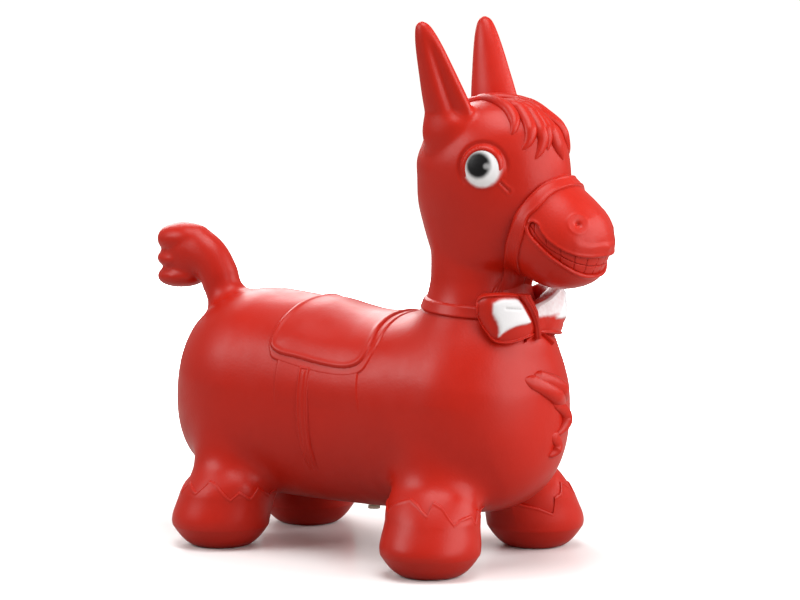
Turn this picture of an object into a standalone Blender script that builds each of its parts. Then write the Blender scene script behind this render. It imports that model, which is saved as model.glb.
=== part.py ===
"""Bouncy ride-on donkey: a hollow PVC skin with its saddle, harness, bow tie and air valve.

The skin is one rotational moulding. It is divided here at its creases, so that each region is
a shell of its own, and all the shells share one air chamber. Relief such as the saddle, the
straps, the bow and the hair is seated on the shells. The nose points to +X, the animal's left
side to +Y, and the hooves stand on z = 0. All lengths are in metres.
"""
import math

import bmesh
import bpy
from mathutils import Vector
from mathutils.bvhtree import BVHTree

for old in list(bpy.data.objects):
    bpy.data.objects.remove(old, do_unlink=True)

# Skin, seams and facets
SKIN_WALL = 0.003
SEAM_GAP = 0.0003
OVERRUN = 0.012
BODY_SEGMENTS = 28
LIMB_SEGMENTS = 20
HOOF_SEGMENTS = 24
EAR_SEGMENTS = 14
CHAMBER_SEGMENTS = 12
TORSO_STATIONS = 16
CHAMBER_STATIONS = 9

# Torso
TORSO_LENGTH = 0.459
TORSO_MIDDLE_X = -0.014
TORSO_AXIS_HEIGHT = 0.160
RUMP_HALF_WIDTH = 0.102
WAIST_HALF_WIDTH = 0.0945
CHEST_HALF_WIDTH = 0.104
RUMP_RISE = 0.107
SEAT_RISE = 0.0895
WITHERS_RISE = 0.110
RUMP_DROP = 0.1105
BELLY_DROP = 0.1135
CHEST_DROP = 0.1085
RUMP_ROUNDING = 0.109
CHEST_ROUNDING = 0.096
TORSO_SQUARENESS_SHARE = 2.2
END_SQUARENESS_SHARE = 2.4
TORSO_HALF_LENGTH = TORSO_LENGTH / 2.0
WITHERS_TOP = TORSO_AXIS_HEIGHT + WITHERS_RISE
BELLY_BOTTOM = TORSO_AXIS_HEIGHT - BELLY_DROP

# Neck and its strap, set into the withers
NECK_PLACE_SHARE = 0.6044
NECK_X = TORSO_MIDDLE_X + TORSO_HALF_LENGTH * NECK_PLACE_SHARE
NECK_RADIUS = 0.052
NECK_FOOT_RADIUS = 0.080
NECK_FOOT_DROP = 0.035
NECK_FOOT_HEIGHT = WITHERS_TOP - NECK_FOOT_DROP
NECK_ROOT_DEPTH = 0.023
NECK_FLARE_HEIGHT = 0.065
NECK_LENGTH = 0.115
NECK_TOP = NECK_FOOT_HEIGHT + NECK_LENGTH
NECK_ROOT_SHARE = 0.985
NECK_FLARE_SHARES = (0.0, 0.2, 0.4, 0.6, 0.8, 1.0)
NECK_FLARE_POWER_SHARE = 1.6
COLLAR_PLACE_SHARE = 0.53
COLLAR_HEIGHT = NECK_FOOT_HEIGHT + NECK_FLARE_HEIGHT * COLLAR_PLACE_SHARE
COLLAR_WIDTH = 0.011
COLLAR_TILT_SHARE = 0.085
COLLAR_EDGE_SHARE = 0.35
STRAP_THICKNESS = 0.003

# Head, as half sizes from its middle, lapped over the top of the neck
HEAD_FORWARD_SHARE = 0.3135
HEAD_X = NECK_X + NECK_RADIUS * HEAD_FORWARD_SHARE
HEAD_HALF_LENGTH = 0.0845
HEAD_HALF_WIDTH = 0.0668
HEAD_LAP = 0.048
HEAD_BOTTOM = NECK_TOP - HEAD_LAP
HEAD_HEIGHT = 0.182
HEAD_SHARES = [
    # height, back, front, width
    (0.016, -0.60, 0.32, 0.57),
    (0.07, -0.75, 0.51, 0.75),
    (0.154, -0.84, 0.675, 0.816),
    (0.264, -0.92, 0.85, 0.883),
    (0.40, -0.994, 0.99, 0.958),
    (0.538, -1.0, 0.99, 1.0),
    (0.648, -1.0, 0.97, 0.996),
    (0.758, -0.90, 0.92, 0.936),
    (0.841, -0.79, 0.85, 0.83),
    (0.912, -0.59, 0.66, 0.674),
    (0.967, -0.367, 0.47, 0.45),
]

# Muzzle, from the back of its chin
MUZZLE_PLACE_SHARE = 0.4142
MUZZLE_X = HEAD_X + HEAD_HALF_LENGTH * MUZZLE_PLACE_SHARE
MUZZLE_REACH = 0.103
CHIN_DROP_SHARE = 0.0604
MUZZLE_BOTTOM = HEAD_BOTTOM - HEAD_HEIGHT * CHIN_DROP_SHARE
MUZZLE_HEIGHT = 0.117
MUZZLE_HALF_WIDTH = 0.0535
MUZZLE_SHARES = [
    # top reach, top height, bottom reach, bottom height, width
    (0.48, 1.0, 0.0, 0.154, 0.97),
    (0.596, 0.906, 0.096, 0.103, 1.0),
    (0.71, 0.82, 0.23, 0.026, 1.0),
    (0.81, 0.77, 0.44, 0.0, 0.944),
    (0.885, 0.726, 0.644, 0.017, 0.85),
    (0.94, 0.667, 0.78, 0.07, 0.71),
    (0.97, 0.59, 0.86, 0.137, 0.54),
    (0.99, 0.504, 0.913, 0.24, 0.318),
]

# Mouth and teeth, seen from the side: reach and height along the muzzle
MOUTH_DEPTH = 0.0065
TOOTH_DEPTH = 0.0025
TOOTH_CLEARANCE = 0.0004
TOOTH_SLOT = 0.0010
TOOTH_SLOT_DEPTH = 0.0010
TOOTH_SLOTS = 8
TOOTH_CENTRE_SHARE = 0.36
TOOTH_START_SHARE = 0.10
UPPER_LIP_SHARES = [(0.43, 0.62), (0.527, 0.521), (0.65, 0.44), (0.787, 0.383), (0.89, 0.353), (1.2, 0.345)]
TOOTH_LINE_SHARES = [(0.39, 0.58), (0.55, 0.436), (0.692, 0.333), (0.81, 0.282), (0.90, 0.25), (1.2, 0.235)]
LOWER_LIP_SHARES = [(0.352, 0.538), (0.446, 0.45), (0.576, 0.35), (0.693, 0.246), (0.777, 0.181),
                    (0.828, 0.121), (1.2, 0.05)]

# Nostrils, as a direction from the middle of the muzzle
NOSTRIL_RADIUS = 0.0085
NOSTRIL_DEPTH = 0.0018
NOSTRIL_DIRECTION_SHARES = (0.70, 0.62, 0.36)

# Noseband
NOSEBAND_SHARES = ((-0.25, 0.4), (0.0, 1.0), (1.1, 1.0), (1.35, 0.4))

# Eyes and lids
EYE_RADIUS = 0.0185
EYE_BULGE = 0.0055
EYE_HEIGHT_SHARE = 0.6346
EYE_HEIGHT = HEAD_BOTTOM + HEAD_HEIGHT * EYE_HEIGHT_SHARE
EYE_FORWARD_SHARE = 0.29
EYE_FORWARD = HEAD_HALF_LENGTH * EYE_FORWARD_SHARE
PUPIL_RADIUS = 0.0128
PUPIL_BULGE = 0.0008
LID_RADIUS = 0.0235
LID_THICKNESS = 0.0030

# Ears
EAR_BACK_SHARE = 0.3136
EAR_ASIDE_SHARE = 0.6662
EAR_SEAT_SHARE = 0.923
EAR_BASE_X = HEAD_X - HEAD_HALF_LENGTH * EAR_BACK_SHARE
EAR_BASE_Y = HEAD_HALF_WIDTH * EAR_ASIDE_SHARE
EAR_BASE_HEIGHT = HEAD_BOTTOM + HEAD_HEIGHT * EAR_SEAT_SHARE
EAR_LENGTH = 0.0945
EAR_LEAN_BACK = 0.024
EAR_LEAN_OUT = 0.0165
EAR_HALF_WIDTH = 0.0285
EAR_HALF_THICKNESS = 0.0165
EAR_HOLLOW_DEPTH = 0.0045
EAR_SHARES = [
    # height, width, thickness
    (-0.45, 0.95, 0.95),
    (-0.22, 1.09, 1.12),
    (0.0, 1.0, 1.0),
    (0.21, 0.88, 0.97),
    (0.42, 0.74, 0.88),
    (0.63, 0.60, 0.76),
    (0.79, 0.47, 0.64),
    (0.91, 0.33, 0.48),
]

# Legs and hooves, placed under the torso
FRONT_HOOF_SHARE = 0.6166
REAR_HOOF_SHARE = 0.5991
FRONT_HOOF_X = TORSO_MIDDLE_X + TORSO_HALF_LENGTH * FRONT_HOOF_SHARE
REAR_HOOF_X = TORSO_MIDDLE_X - TORSO_HALF_LENGTH * REAR_HOOF_SHARE
FRONT_ASIDE_SHARE = 0.947
REAR_ASIDE_SHARE = 0.7843
FRONT_HOOF_Y = CHEST_HALF_WIDTH * FRONT_ASIDE_SHARE
REAR_HOOF_Y = RUMP_HALF_WIDTH * REAR_ASIDE_SHARE
FRONT_PASTERN_RADIUS = 0.0465
FRONT_SHOULDER_LEAN = -0.020
FRONT_SHOULDER_INWARD = 0.046
REAR_PASTERN_RADIUS = 0.0405
REAR_PASTERN_OFFSET = 0.015
REAR_THIGH_LEAN = 0.012
REAR_THIGH_INWARD = 0.030
LEG_TOP_SHARE = 0.9375
LEG_TOP = TORSO_AXIS_HEIGHT * LEG_TOP_SHARE
LEG_SHARES = {
    # height from the lap to the top, inward, lean, half length and half width to the pastern radius
    "front": [(1.0, 1.0, 0.95, 1.183, 1.054), (0.796, 0.75, 1.0, 1.204, 1.0),
              (0.592, 0.50, 0.80, 1.140, 0.935), (0.388, 0.26, 0.35, 1.043, 0.903),
              (0.24, 0.13, 0.06, 0.996, 0.925), (0.0, 0.05, 0.0, 0.996, 0.980)],
    "rear": [(1.0, 1.0, 0.95, 1.481, 1.160), (0.796, 0.767, 1.0, 1.432, 1.136),
             (0.592, 0.50, 0.80, 1.284, 1.062), (0.388, 0.267, 0.35, 1.111, 1.0),
             (0.24, 0.133, 0.08, 1.007, 0.983), (0.0, 0.05, 0.0, 1.0, 1.0)],
}
LEG_LAP_HEIGHT = 0.052
HOOF_RADIUS = 0.0515
HOOF_CORNER_HEIGHT = 0.0155
HOOF_CROWN_HEIGHT = 0.077
HOOF_CROWN_POINT = 0.013
HOOF_CROWN_LIP = 0.0018
SOLE_RADIUS = 0.024

# Tail
TAIL_PLACE_SHARE = 0.7887
TAIL_SEAT_SHARE = 0.7477
TAIL_ROOT_X = TORSO_MIDDLE_X - TORSO_HALF_LENGTH * TAIL_PLACE_SHARE
TAIL_ROOT_HEIGHT = TORSO_AXIS_HEIGHT + RUMP_RISE * TAIL_SEAT_SHARE
TAIL_REACH = 0.070
TAIL_RISE = 0.0585
TAIL_HALF_WIDTH = 0.024
TAIL_HALF_DEPTH = 0.0325
TAIL_SHARES = [
    # reach, rise, depth, width
    (-0.12, -0.30, 0.60, 0.80),
    (0.0, 0.0, 0.68, 0.88),
    (0.08, 0.37, 0.63, 0.83),
    (0.17, 0.68, 0.65, 0.83),
    (0.33, 0.90, 0.74, 0.88),
    (0.55, 1.0, 0.89, 0.96),
    (0.76, 1.0, 1.0, 1.0),
    (0.92, 0.98, 0.97, 0.95),
]
TAIL_LOBE_SHARES = [
    # reach, rise, half height to the tail's half depth
    (0.943, 1.291, 0.508),
    (1.050, 0.855, 0.323),
    (1.036, 0.479, 0.415),
]
TAIL_LOBE_LENGTH_SHARE = 1.25
TAIL_LOBE_WIDTH_SHARE = 0.8

# Saddle, flaps and girth
SADDLE_BACK_SHARE = 0.0462
SADDLE_X = TORSO_MIDDLE_X - TORSO_HALF_LENGTH * SADDLE_BACK_SHARE
SADDLE_HALF_LENGTH = 0.0655
SADDLE_HALF_TURN = math.radians(67.0)
SADDLE_THICKNESS = 0.0045
SADDLE_RIM_THICKNESS = 0.0022
SADDLE_PAD_SHARE = 0.925
SADDLE_EDGE_SHARE = 0.04
SADDLE_SCOOP_SHARE = 0.06
SADDLE_CORNER_SHARE = 5.0
FLAP_HALF_LENGTH = 0.054
FLAP_LOW_TURN = math.radians(112.0)
FLAP_THICKNESS = 0.0014
GIRTH_BACK_SHARE = 0.085
GIRTH_X = TORSO_MIDDLE_X - TORSO_HALF_LENGTH * GIRTH_BACK_SHARE
GIRTH_HALF_WIDTH = 0.0068
GIRTH_LOW_TURN = math.radians(128.0)
GIRTH_THICKNESS = 0.0030

# Bow tie
BOW_DROP_SHARE = 0.294
BOW_REACH_SHARE = 1.131
KNOT_REACH_SHARE = 0.9625
BOW_HALF_HEIGHT = 0.0255
BOW_THICKNESS = 0.012
BOW_HALF_TURN = math.radians(62.0)
BOW_PANEL_PROUD = 0.0010
BOW_PANEL_HEIGHT_SHARE = 0.66
BOW_HEIGHT = COLLAR_HEIGHT - BOW_HALF_HEIGHT * BOW_DROP_SHARE
BOW_RADIUS = NECK_FOOT_RADIUS * BOW_REACH_SHARE
KNOT_RADIUS = NECK_FOOT_RADIUS * KNOT_REACH_SHARE
KNOT_HALF_HEIGHT = 0.0215
KNOT_HALF_WIDTH = 0.0085
BOW_TAIL_LENGTH = 0.020

# Hair, as directions from the middle of the head or chest in shares of its half sizes
LOCK_HALF_WIDTH = 0.0052
LOCK_THICKNESS = 0.0042
MANE_HALF_WIDTH = 0.011
TUFT_HALF_WIDTH = 0.0095
TUFT_THICKNESS = 0.0055
LOCK_WIDTH_SHARES = (0.9, 1.15, 1.0, 0.8, 0.35)
FORELOCK_SHARES = [
    [(-0.25, -0.06, 0.90), (0.195, -0.24, 0.857), (0.40, -0.43, 0.775), (0.52, -0.565, 0.653),
     (0.533, -0.70, 0.525)],
    [(0.05, -0.09, 0.90), (0.473, -0.284, 0.79), (0.615, -0.374, 0.692), (0.71, -0.524, 0.535),
     (0.683, -0.659, 0.374)],
    [(0.10, -0.045, 0.90), (0.61, -0.20, 0.736), (0.746, -0.25, 0.637), (0.852, -0.368, 0.45),
     (0.825, -0.518, 0.286)],
    [(0.15, 0.0, 0.89), (0.60, -0.06, 0.76), (0.80, -0.10, 0.60), (0.94, -0.05, 0.38),
     (0.987, 0.055, 0.236)],
    [(0.10, 0.05, 0.89), (0.50, 0.06, 0.79), (0.705, 0.13, 0.692), (0.852, 0.20, 0.58),
     (0.92, 0.26, 0.457)],
    [(0.05, 0.09, 0.90), (0.45, 0.30, 0.79), (0.61, 0.38, 0.692), (0.71, 0.50, 0.50),
     (0.70, 0.62, 0.33)],
]
MANE_SHARES = [(0.0, 0.0, 0.90), (-0.45, 0.0, 0.80), (-0.80, 0.0, 0.62), (-0.98, 0.0, 0.42),
               (-1.0, 0.0, 0.30)]
MANE_WIDTH_SHARES = (0.8, 1.0, 1.0, 0.85, 0.4)
TUFT_SHARES = {
    "upper": [(0.86, -0.34, 0.40), (0.93, -0.18, 0.34), (0.96, 0.0, 0.27), (0.95, 0.17, 0.18)],
    "middle": [(1.0, 0.02, 0.16), (1.0, 0.09, 0.05), (1.0, 0.06, -0.08), (1.0, -0.02, -0.17)],
    "lower": [(0.98, 0.0, -0.21), (0.97, 0.05, -0.27), (0.96, 0.02, -0.33), (0.95, -0.05, -0.38)],
}
TUFT_WIDTH_SHARES = (0.6, 1.0, 0.85, 0.35)

# Air valve
VALVE_PLACE_SHARE = 0.026
VALVE_X = TORSO_MIDDLE_X + TORSO_HALF_LENGTH * VALVE_PLACE_SHARE
VALVE_SEAT_RADIUS = 0.0095
VALVE_SEAT_LENGTH = 0.0125
VALVE_FLANGE_HEIGHT = 0.009
VALVE_SEAT_PROUD = 0.0010
PLUG_STEM_RADIUS = 0.0028
PLUG_STEM_LENGTH = 0.016
PLUG_DISC_RADIUS = 0.0065
PLUG_DISC_THICKNESS = 0.0028
PLUG_STANDOFF = 0.0022
PLUG_CLEARANCE = 0.0003

FORWARD, LEFT, UP = Vector((1, 0, 0)), Vector((0, 1, 0)), Vector((0, 0, 1))
SIDES = (("right", -1), ("left", 1))


def material(name, colour, roughness):
    """A Principled material in one plain colour."""
    item = bpy.data.materials.new(name)
    item.use_nodes = True
    shader = item.node_tree.nodes["Principled BSDF"]
    shader.inputs["Base Color"].default_value = (*colour, 1.0)
    shader.inputs["Roughness"].default_value = roughness
    shader.inputs["Metallic"].default_value = 0.0
    item.diffuse_color = (*colour, 1.0)
    return item


RED = material("red_pvc", (0.56, 0.035, 0.022), 0.38)
WHITE = material("white_paint", (0.86, 0.86, 0.88), 0.42)
BLACK = material("black_paint", (0.012, 0.012, 0.014), 0.35)
CREAM = material("cream_plug", (0.80, 0.70, 0.60), 0.45)


def ease(share):
    """A smooth step from 0 to 1."""
    share = min(1.0, max(0.0, share))
    return share * share * (3.0 - 2.0 * share)


def read(table, place):
    """The values of a table at a place, eased between its rows."""
    if place <= table[0][0]:
        return list(table[0][1:])
    for low, high in zip(table, table[1:]):
        if place <= high[0]:
            share = ease((place - low[0]) / (high[0] - low[0]))
            return [a + (b - a) * share for a, b in zip(low[1:], high[1:])]
    return list(table[-1][1:])


def signed_power(value, power):
    return math.copysign(abs(value) ** power, value)


def ring(middle, across, up, half_across, half_up, segments, half_down=None, squareness=2.0):
    """An oval ring, whose lower half may differ and whose corners may be squarer."""
    half_down = half_up if half_down is None else half_down
    points = []
    for step in range(segments):
        turn = 2.0 * math.pi * step / segments
        x = signed_power(math.cos(turn), 2.0 / squareness) * half_across
        y = signed_power(math.sin(turn), 2.0 / squareness)
        points.append(middle + across * x + up * y * (half_up if y > 0 else half_down))
    return points


def disc(middle, radius, segments):
    return ring(middle, FORWARD, LEFT, radius, radius, segments)


def loft(rings, start, end):
    """A closed skin over rings of points, with a pole at each end."""
    mesh = bmesh.new()
    loops = [[mesh.verts.new(point) for point in points] for points in rings]
    for low, high in zip(loops, loops[1:]):
        for here in range(len(low)):
            there = (here + 1) % len(low)
            mesh.faces.new((low[here], low[there], high[there], high[here]))
    for loop, place in ((loops[0], start), (loops[-1], end)):
        pole = mesh.verts.new(place)
        for here in range(len(loop)):
            mesh.faces.new((loop[here], loop[(here + 1) % len(loop)], pole))
    bmesh.ops.recalc_face_normals(mesh, faces=mesh.faces)
    return mesh


def grown(mesh, distance):
    """A copy of a skin, moved out along its normals, or in where the distance is negative."""
    copy = mesh.copy()
    copy.normal_update()
    moves = [(vert, vert.normal * distance) for vert in copy.verts]
    for vert, move in moves:
        vert.co += move
    return copy


def place_object(name, mesh):
    data = bpy.data.meshes.new(name)
    mesh.to_mesh(data)
    item = bpy.data.objects.new(name, data)
    bpy.context.scene.collection.objects.link(item)
    return item


def solid(name, mesh, finish=RED):
    """One piece of the animal, shaded smooth."""
    item = place_object(name, mesh)
    item.data.materials.append(finish)
    item.data.shade_smooth()
    return item


def guide(name, mesh):
    """A shape that only cuts or joins others."""
    item = place_object(name, mesh)
    item.hide_render = True
    item.display_type = "WIRE"
    return item


def boolean(item, tool, operation):
    step = item.modifiers.new(operation.lower() + "_" + tool.name, "BOOLEAN")
    step.operation = operation
    step.solver = "EXACT"
    step.object = tool


def cut(item, *tools):
    for tool in tools:
        boolean(item, tool, "DIFFERENCE")


def join(item, *tools):
    for tool in tools:
        boolean(item, tool, "UNION")


def seat(tree, origin, direction):
    """Where a ray from inside a skin leaves it, and the skin's normal there."""
    place, normal, _, _ = tree.ray_cast(origin, direction.normalized())
    return place, normal


# Torso: oval sections along X, rounded off at rump and chest


def torso_ends():
    return TORSO_MIDDLE_X - TORSO_HALF_LENGTH, TORSO_MIDDLE_X + TORSO_HALF_LENGTH


def torso_section(x):
    """Half width, rise above the axis and drop below it at a place along the torso."""
    rear, front = torso_ends()
    rump, withers = rear + RUMP_ROUNDING, front - CHEST_ROUNDING
    lines = [(rump, RUMP_RISE, RUMP_DROP, RUMP_HALF_WIDTH),
             ((rump + withers) / 2.0, SEAT_RISE, BELLY_DROP, WAIST_HALF_WIDTH),
             (withers, WITHERS_RISE, CHEST_DROP, CHEST_HALF_WIDTH)]
    rise, drop, width = read(lines, x)
    past = max((rump - x) / RUMP_ROUNDING, (x - withers) / CHEST_ROUNDING, 0.0)
    past = min(past, 1.0)
    tall = (1.0 - past ** END_SQUARENESS_SHARE) ** (1.0 / END_SQUARENESS_SHARE)
    wide = math.sqrt(1.0 - past * past)
    return width * wide, rise * tall, drop * tall


def torso_mesh(segments, stations):
    rear, front = torso_ends()
    rings = []
    for step in range(1, stations):
        x = TORSO_MIDDLE_X - TORSO_HALF_LENGTH * math.cos(math.pi * step / stations)
        width, rise, drop = torso_section(x)
        rings.append(ring(Vector((x, 0.0, TORSO_AXIS_HEIGHT)), LEFT, UP, width, rise, segments,
                          drop, TORSO_SQUARENESS_SHARE))
    return loft(rings, Vector((rear, 0.0, TORSO_AXIS_HEIGHT)), Vector((front, 0.0, TORSO_AXIS_HEIGHT)))


def torso_point(x, turn, lift):
    """A point over the torso's skin, turned from the top of its back towards its left side."""
    width, rise, drop = torso_section(x)
    y = signed_power(math.sin(turn), 2.0 / TORSO_SQUARENESS_SHARE)
    z = signed_power(math.cos(turn), 2.0 / TORSO_SQUARENESS_SHARE)
    return Vector((x, y * (width + lift), TORSO_AXIS_HEIGHT + z * ((rise if z > 0 else drop) + lift)))


def torso_patch(outline, middle_x, middle_turn, edge_share):
    """A plug through the torso's skin, with the outline in x and turn where it meets the skin."""
    rings = []
    for share, lift in ((1.0 + edge_share, -OVERRUN / 2.0), (1.0 - edge_share, OVERRUN / 2.0),
                        (0.5, OVERRUN * 5.0)):
        rings.append([torso_point(middle_x + x * share, middle_turn + turn * share, lift)
                      for x, turn in outline])
    top = torso_point(middle_x, middle_turn, OVERRUN * 7.0)
    return loft(rings, Vector((middle_x, 0.0, TORSO_AXIS_HEIGHT)), top)


def rounded_outline(half_length, half_turn, squareness, segments):
    points = []
    for step in range(segments):
        angle = 2.0 * math.pi * step / segments
        points.append((signed_power(math.cos(angle), 2.0 / squareness) * half_length,
                       signed_power(math.sin(angle), 2.0 / squareness) * half_turn))
    return points


# Neck, head and muzzle


def neck_radius(height):
    """The neck is straight above its flare, which spreads on to the shoulders."""
    share = (height - NECK_FOOT_HEIGHT) / NECK_FLARE_HEIGHT
    if share >= 1.0:
        return NECK_RADIUS
    flare = (1.0 - max(share, 0.0)) ** NECK_FLARE_POWER_SHARE
    return NECK_RADIUS + (NECK_FOOT_RADIUS - NECK_RADIUS) * flare


def neck_mesh(segments, inset):
    heights = [NECK_FOOT_HEIGHT + NECK_FLARE_HEIGHT * share for share in NECK_FLARE_SHARES]
    heights.append((heights[-1] + NECK_TOP) / 2.0)
    heights.append(NECK_TOP)
    rings = [disc(Vector((NECK_X, 0.0, z)), neck_radius(z) - inset, segments) for z in heights]
    root = Vector((NECK_X, 0.0, NECK_FOOT_HEIGHT - NECK_ROOT_DEPTH))
    rings.insert(0, disc(root, NECK_FOOT_RADIUS * NECK_ROOT_SHARE - inset, segments))
    return loft(rings, root - UP * OVERRUN, Vector((NECK_X, 0.0, NECK_TOP + OVERRUN)))


def head_mesh(segments, rows):
    rings = []
    for height, back, front, width in rows:
        middle = Vector((HEAD_X + HEAD_HALF_LENGTH * (back + front) / 2.0, 0.0,
                         HEAD_BOTTOM + HEAD_HEIGHT * height))
        rings.append(ring(middle, FORWARD, LEFT, HEAD_HALF_LENGTH * (front - back) / 2.0,
                          HEAD_HALF_WIDTH * width, segments))
    chin = Vector((rings[0][0] + rings[0][segments // 2]) / 2.0)
    crown = Vector((rings[-1][0] + rings[-1][segments // 2]) / 2.0)
    return loft(rings, Vector((chin.x, 0.0, HEAD_BOTTOM)), Vector((crown.x, 0.0, HEAD_BOTTOM + HEAD_HEIGHT)))


def muzzle_place(reach, height):
    return Vector((MUZZLE_X + MUZZLE_REACH * reach, 0.0, MUZZLE_BOTTOM + MUZZLE_HEIGHT * height))


def muzzle_mesh(segments, rows, nose):
    rings = []
    for top_reach, top_height, low_reach, low_height, width in rows:
        top, low = muzzle_place(top_reach, top_height), muzzle_place(low_reach, low_height)
        rings.append(ring((top + low) / 2.0, LEFT, (top - low).normalized(), MUZZLE_HALF_WIDTH * width,
                          (top - low).length / 2.0, segments))
    root = (muzzle_place(*rows[0][0:2]) + muzzle_place(*rows[0][2:4])) / 2.0
    return loft(rings, root, nose)


def side_view_slab(line_a, line_b):
    """A slab through the muzzle between two lines that are drawn on its side view."""
    outline = [muzzle_place(*share) for share in line_a]
    outline += [muzzle_place(*share) for share in reversed(line_b)]
    mesh = bmesh.new()
    reach = MUZZLE_HALF_WIDTH + OVERRUN
    near = [mesh.verts.new(point - LEFT * reach) for point in outline]
    far = [mesh.verts.new(point + LEFT * reach) for point in outline]
    mesh.faces.new(near)
    mesh.faces.new(list(reversed(far)))
    for here in range(len(outline)):
        there = (here + 1) % len(outline)
        mesh.faces.new((near[there], near[here], far[here], far[there]))
    bmesh.ops.recalc_face_normals(mesh, faces=mesh.faces)
    return mesh


def shifted(line, distance):
    """A line of the side view, begun a little later and moved up or down."""
    later = [a + (b - a) * TOOTH_START_SHARE for a, b in zip(line[0], line[1])]
    return [(reach, height + distance / MUZZLE_HEIGHT) for reach, height in [later] + line[1:]]


def tooth_slots_mesh():
    """Upright blades that stand round the middle of the muzzle."""
    mesh = bmesh.new()
    low, high = MUZZLE_BOTTOM, MUZZLE_BOTTOM + MUZZLE_HEIGHT
    for step in range(-TOOTH_SLOTS, TOOTH_SLOTS + 1):
        angle = math.radians(90.0) * step / (TOOTH_SLOTS + 1)
        outward = Vector((math.cos(angle), math.sin(angle), 0.0))
        aside = outward.cross(UP) * TOOTH_SLOT / 2.0
        near = Vector((MUZZLE_X + MUZZLE_REACH * TOOTH_CENTRE_SHARE, 0.0, 0.0)) + outward * MOUTH_DEPTH * 3.0
        far = near + outward * MUZZLE_REACH
        corners = (near - aside, near + aside, far + aside, far - aside)
        bottom = [mesh.verts.new(point + UP * low) for point in corners]
        top = [mesh.verts.new(point + UP * high) for point in corners]
        mesh.faces.new(list(reversed(bottom)))
        mesh.faces.new(top)
        for here in range(4):
            there = (here + 1) % 4
            mesh.faces.new((bottom[here], bottom[there], top[there], top[here]))
    bmesh.ops.recalc_face_normals(mesh, faces=mesh.faces)
    return mesh


# Ears, tail, legs and hooves


def ear_mesh(side, segments, inset, setback):
    """Oval sections that shrink to the tip, leaning back and out."""
    rings = []
    for height, width, thickness in EAR_SHARES:
        lean = max(height, 0.0)
        middle = Vector((EAR_BASE_X - EAR_LEAN_BACK * lean - setback,
                         side * (EAR_BASE_Y + EAR_LEAN_OUT * lean), EAR_BASE_HEIGHT + EAR_LENGTH * height))
        rings.append(ring(middle, FORWARD, LEFT, EAR_HALF_WIDTH * width - inset - setback,
                          EAR_HALF_THICKNESS * thickness - inset, segments))
        if min(EAR_HALF_WIDTH * width - inset - setback, EAR_HALF_THICKNESS * thickness - inset) < inset:
            break
    tip = middle + (UP * EAR_LENGTH - FORWARD * EAR_LEAN_BACK + LEFT * side * EAR_LEAN_OUT) * (1.0 - height)
    if inset:
        tip = middle + UP * inset
    root = Vector((rings[0][0] + rings[0][segments // 2]) / 2.0)
    return loft(rings, root - UP * OVERRUN / 2.0, tip)


def ear_hollow_mesh(side, segments):
    """The hollow along the front of an ear."""
    rings = []
    rows = EAR_SHARES[2:]
    for height, width, thickness in rows:
        front = Vector((EAR_BASE_X - EAR_LEAN_BACK * height + EAR_HALF_WIDTH * width,
                        side * (EAR_BASE_Y + EAR_LEAN_OUT * height), EAR_BASE_HEIGHT + EAR_LENGTH * height))
        depth = EAR_HOLLOW_DEPTH * (1.0 - height * 0.6)
        rings.append(ring(front, FORWARD, LEFT, depth, EAR_HALF_THICKNESS * thickness * 0.5, segments))
    low = Vector((rings[0][0] + rings[0][segments // 2]) / 2.0)
    high = Vector((rings[-1][0] + rings[-1][segments // 2]) / 2.0)
    return loft(rings, low - UP * OVERRUN / 2.0, high + UP * EAR_HOLLOW_DEPTH)


def tail_mesh(segments):
    places = []
    for reach, rise, _, _ in TAIL_SHARES:
        places.append(Vector((TAIL_ROOT_X - TAIL_REACH * reach, 0.0, TAIL_ROOT_HEIGHT + TAIL_RISE * rise)))
    rings = []
    for index, (place, row) in enumerate(zip(places, TAIL_SHARES)):
        ahead = places[min(index + 1, len(places) - 1)] - places[max(index - 1, 0)]
        across_tail = LEFT.cross(ahead).normalized()
        rings.append(ring(place, LEFT, across_tail, TAIL_HALF_WIDTH * row[3], TAIL_HALF_DEPTH * row[2],
                          segments))
    start = places[0] - (places[1] - places[0]).normalized() * OVERRUN / 2.0
    return loft(rings, start, places[-1] - FORWARD * OVERRUN / 2.0)


def ball(middle, half_length, half_width, half_height, segments, rows):
    rings = []
    for step in range(1, rows):
        angle = math.pi * step / rows
        height = middle - UP * half_height * math.cos(angle)
        rings.append(ring(height, FORWARD, LEFT, half_length * math.sin(angle),
                          half_width * math.sin(angle), segments))
    return loft(rings, middle - UP * half_height, middle + UP * half_height)


LEGS = {
    # hoof x, hoof y, pastern radius, pastern offset, lean, inward
    "front": (FRONT_HOOF_X, FRONT_HOOF_Y, FRONT_PASTERN_RADIUS, 0.0,
              FRONT_SHOULDER_LEAN, FRONT_SHOULDER_INWARD),
    "rear": (REAR_HOOF_X, REAR_HOOF_Y, REAR_PASTERN_RADIUS, REAR_PASTERN_OFFSET,
             REAR_THIGH_LEAN, REAR_THIGH_INWARD),
}


def leg_mesh(kind, side, segments, inset):
    hoof_x, hoof_y, radius, offset, lean, most_inward = LEGS[kind]
    rings = []
    for height, inward, along, length, width in LEG_SHARES[kind]:
        middle = Vector((hoof_x + offset + lean * along, side * (hoof_y - most_inward * inward),
                         LEG_LAP_HEIGHT + (LEG_TOP - LEG_LAP_HEIGHT) * height))
        rings.append(ring(middle, FORWARD, LEFT, radius * length - inset, radius * width - inset, segments))
    top, foot = rings[0], rings[-1]
    over = Vector((top[0] + top[segments // 2]) / 2.0) + UP * OVERRUN
    under = Vector((foot[0] + foot[segments // 2]) / 2.0) - UP * (OVERRUN if inset else 0.0)
    return loft(rings, over, under)


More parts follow.
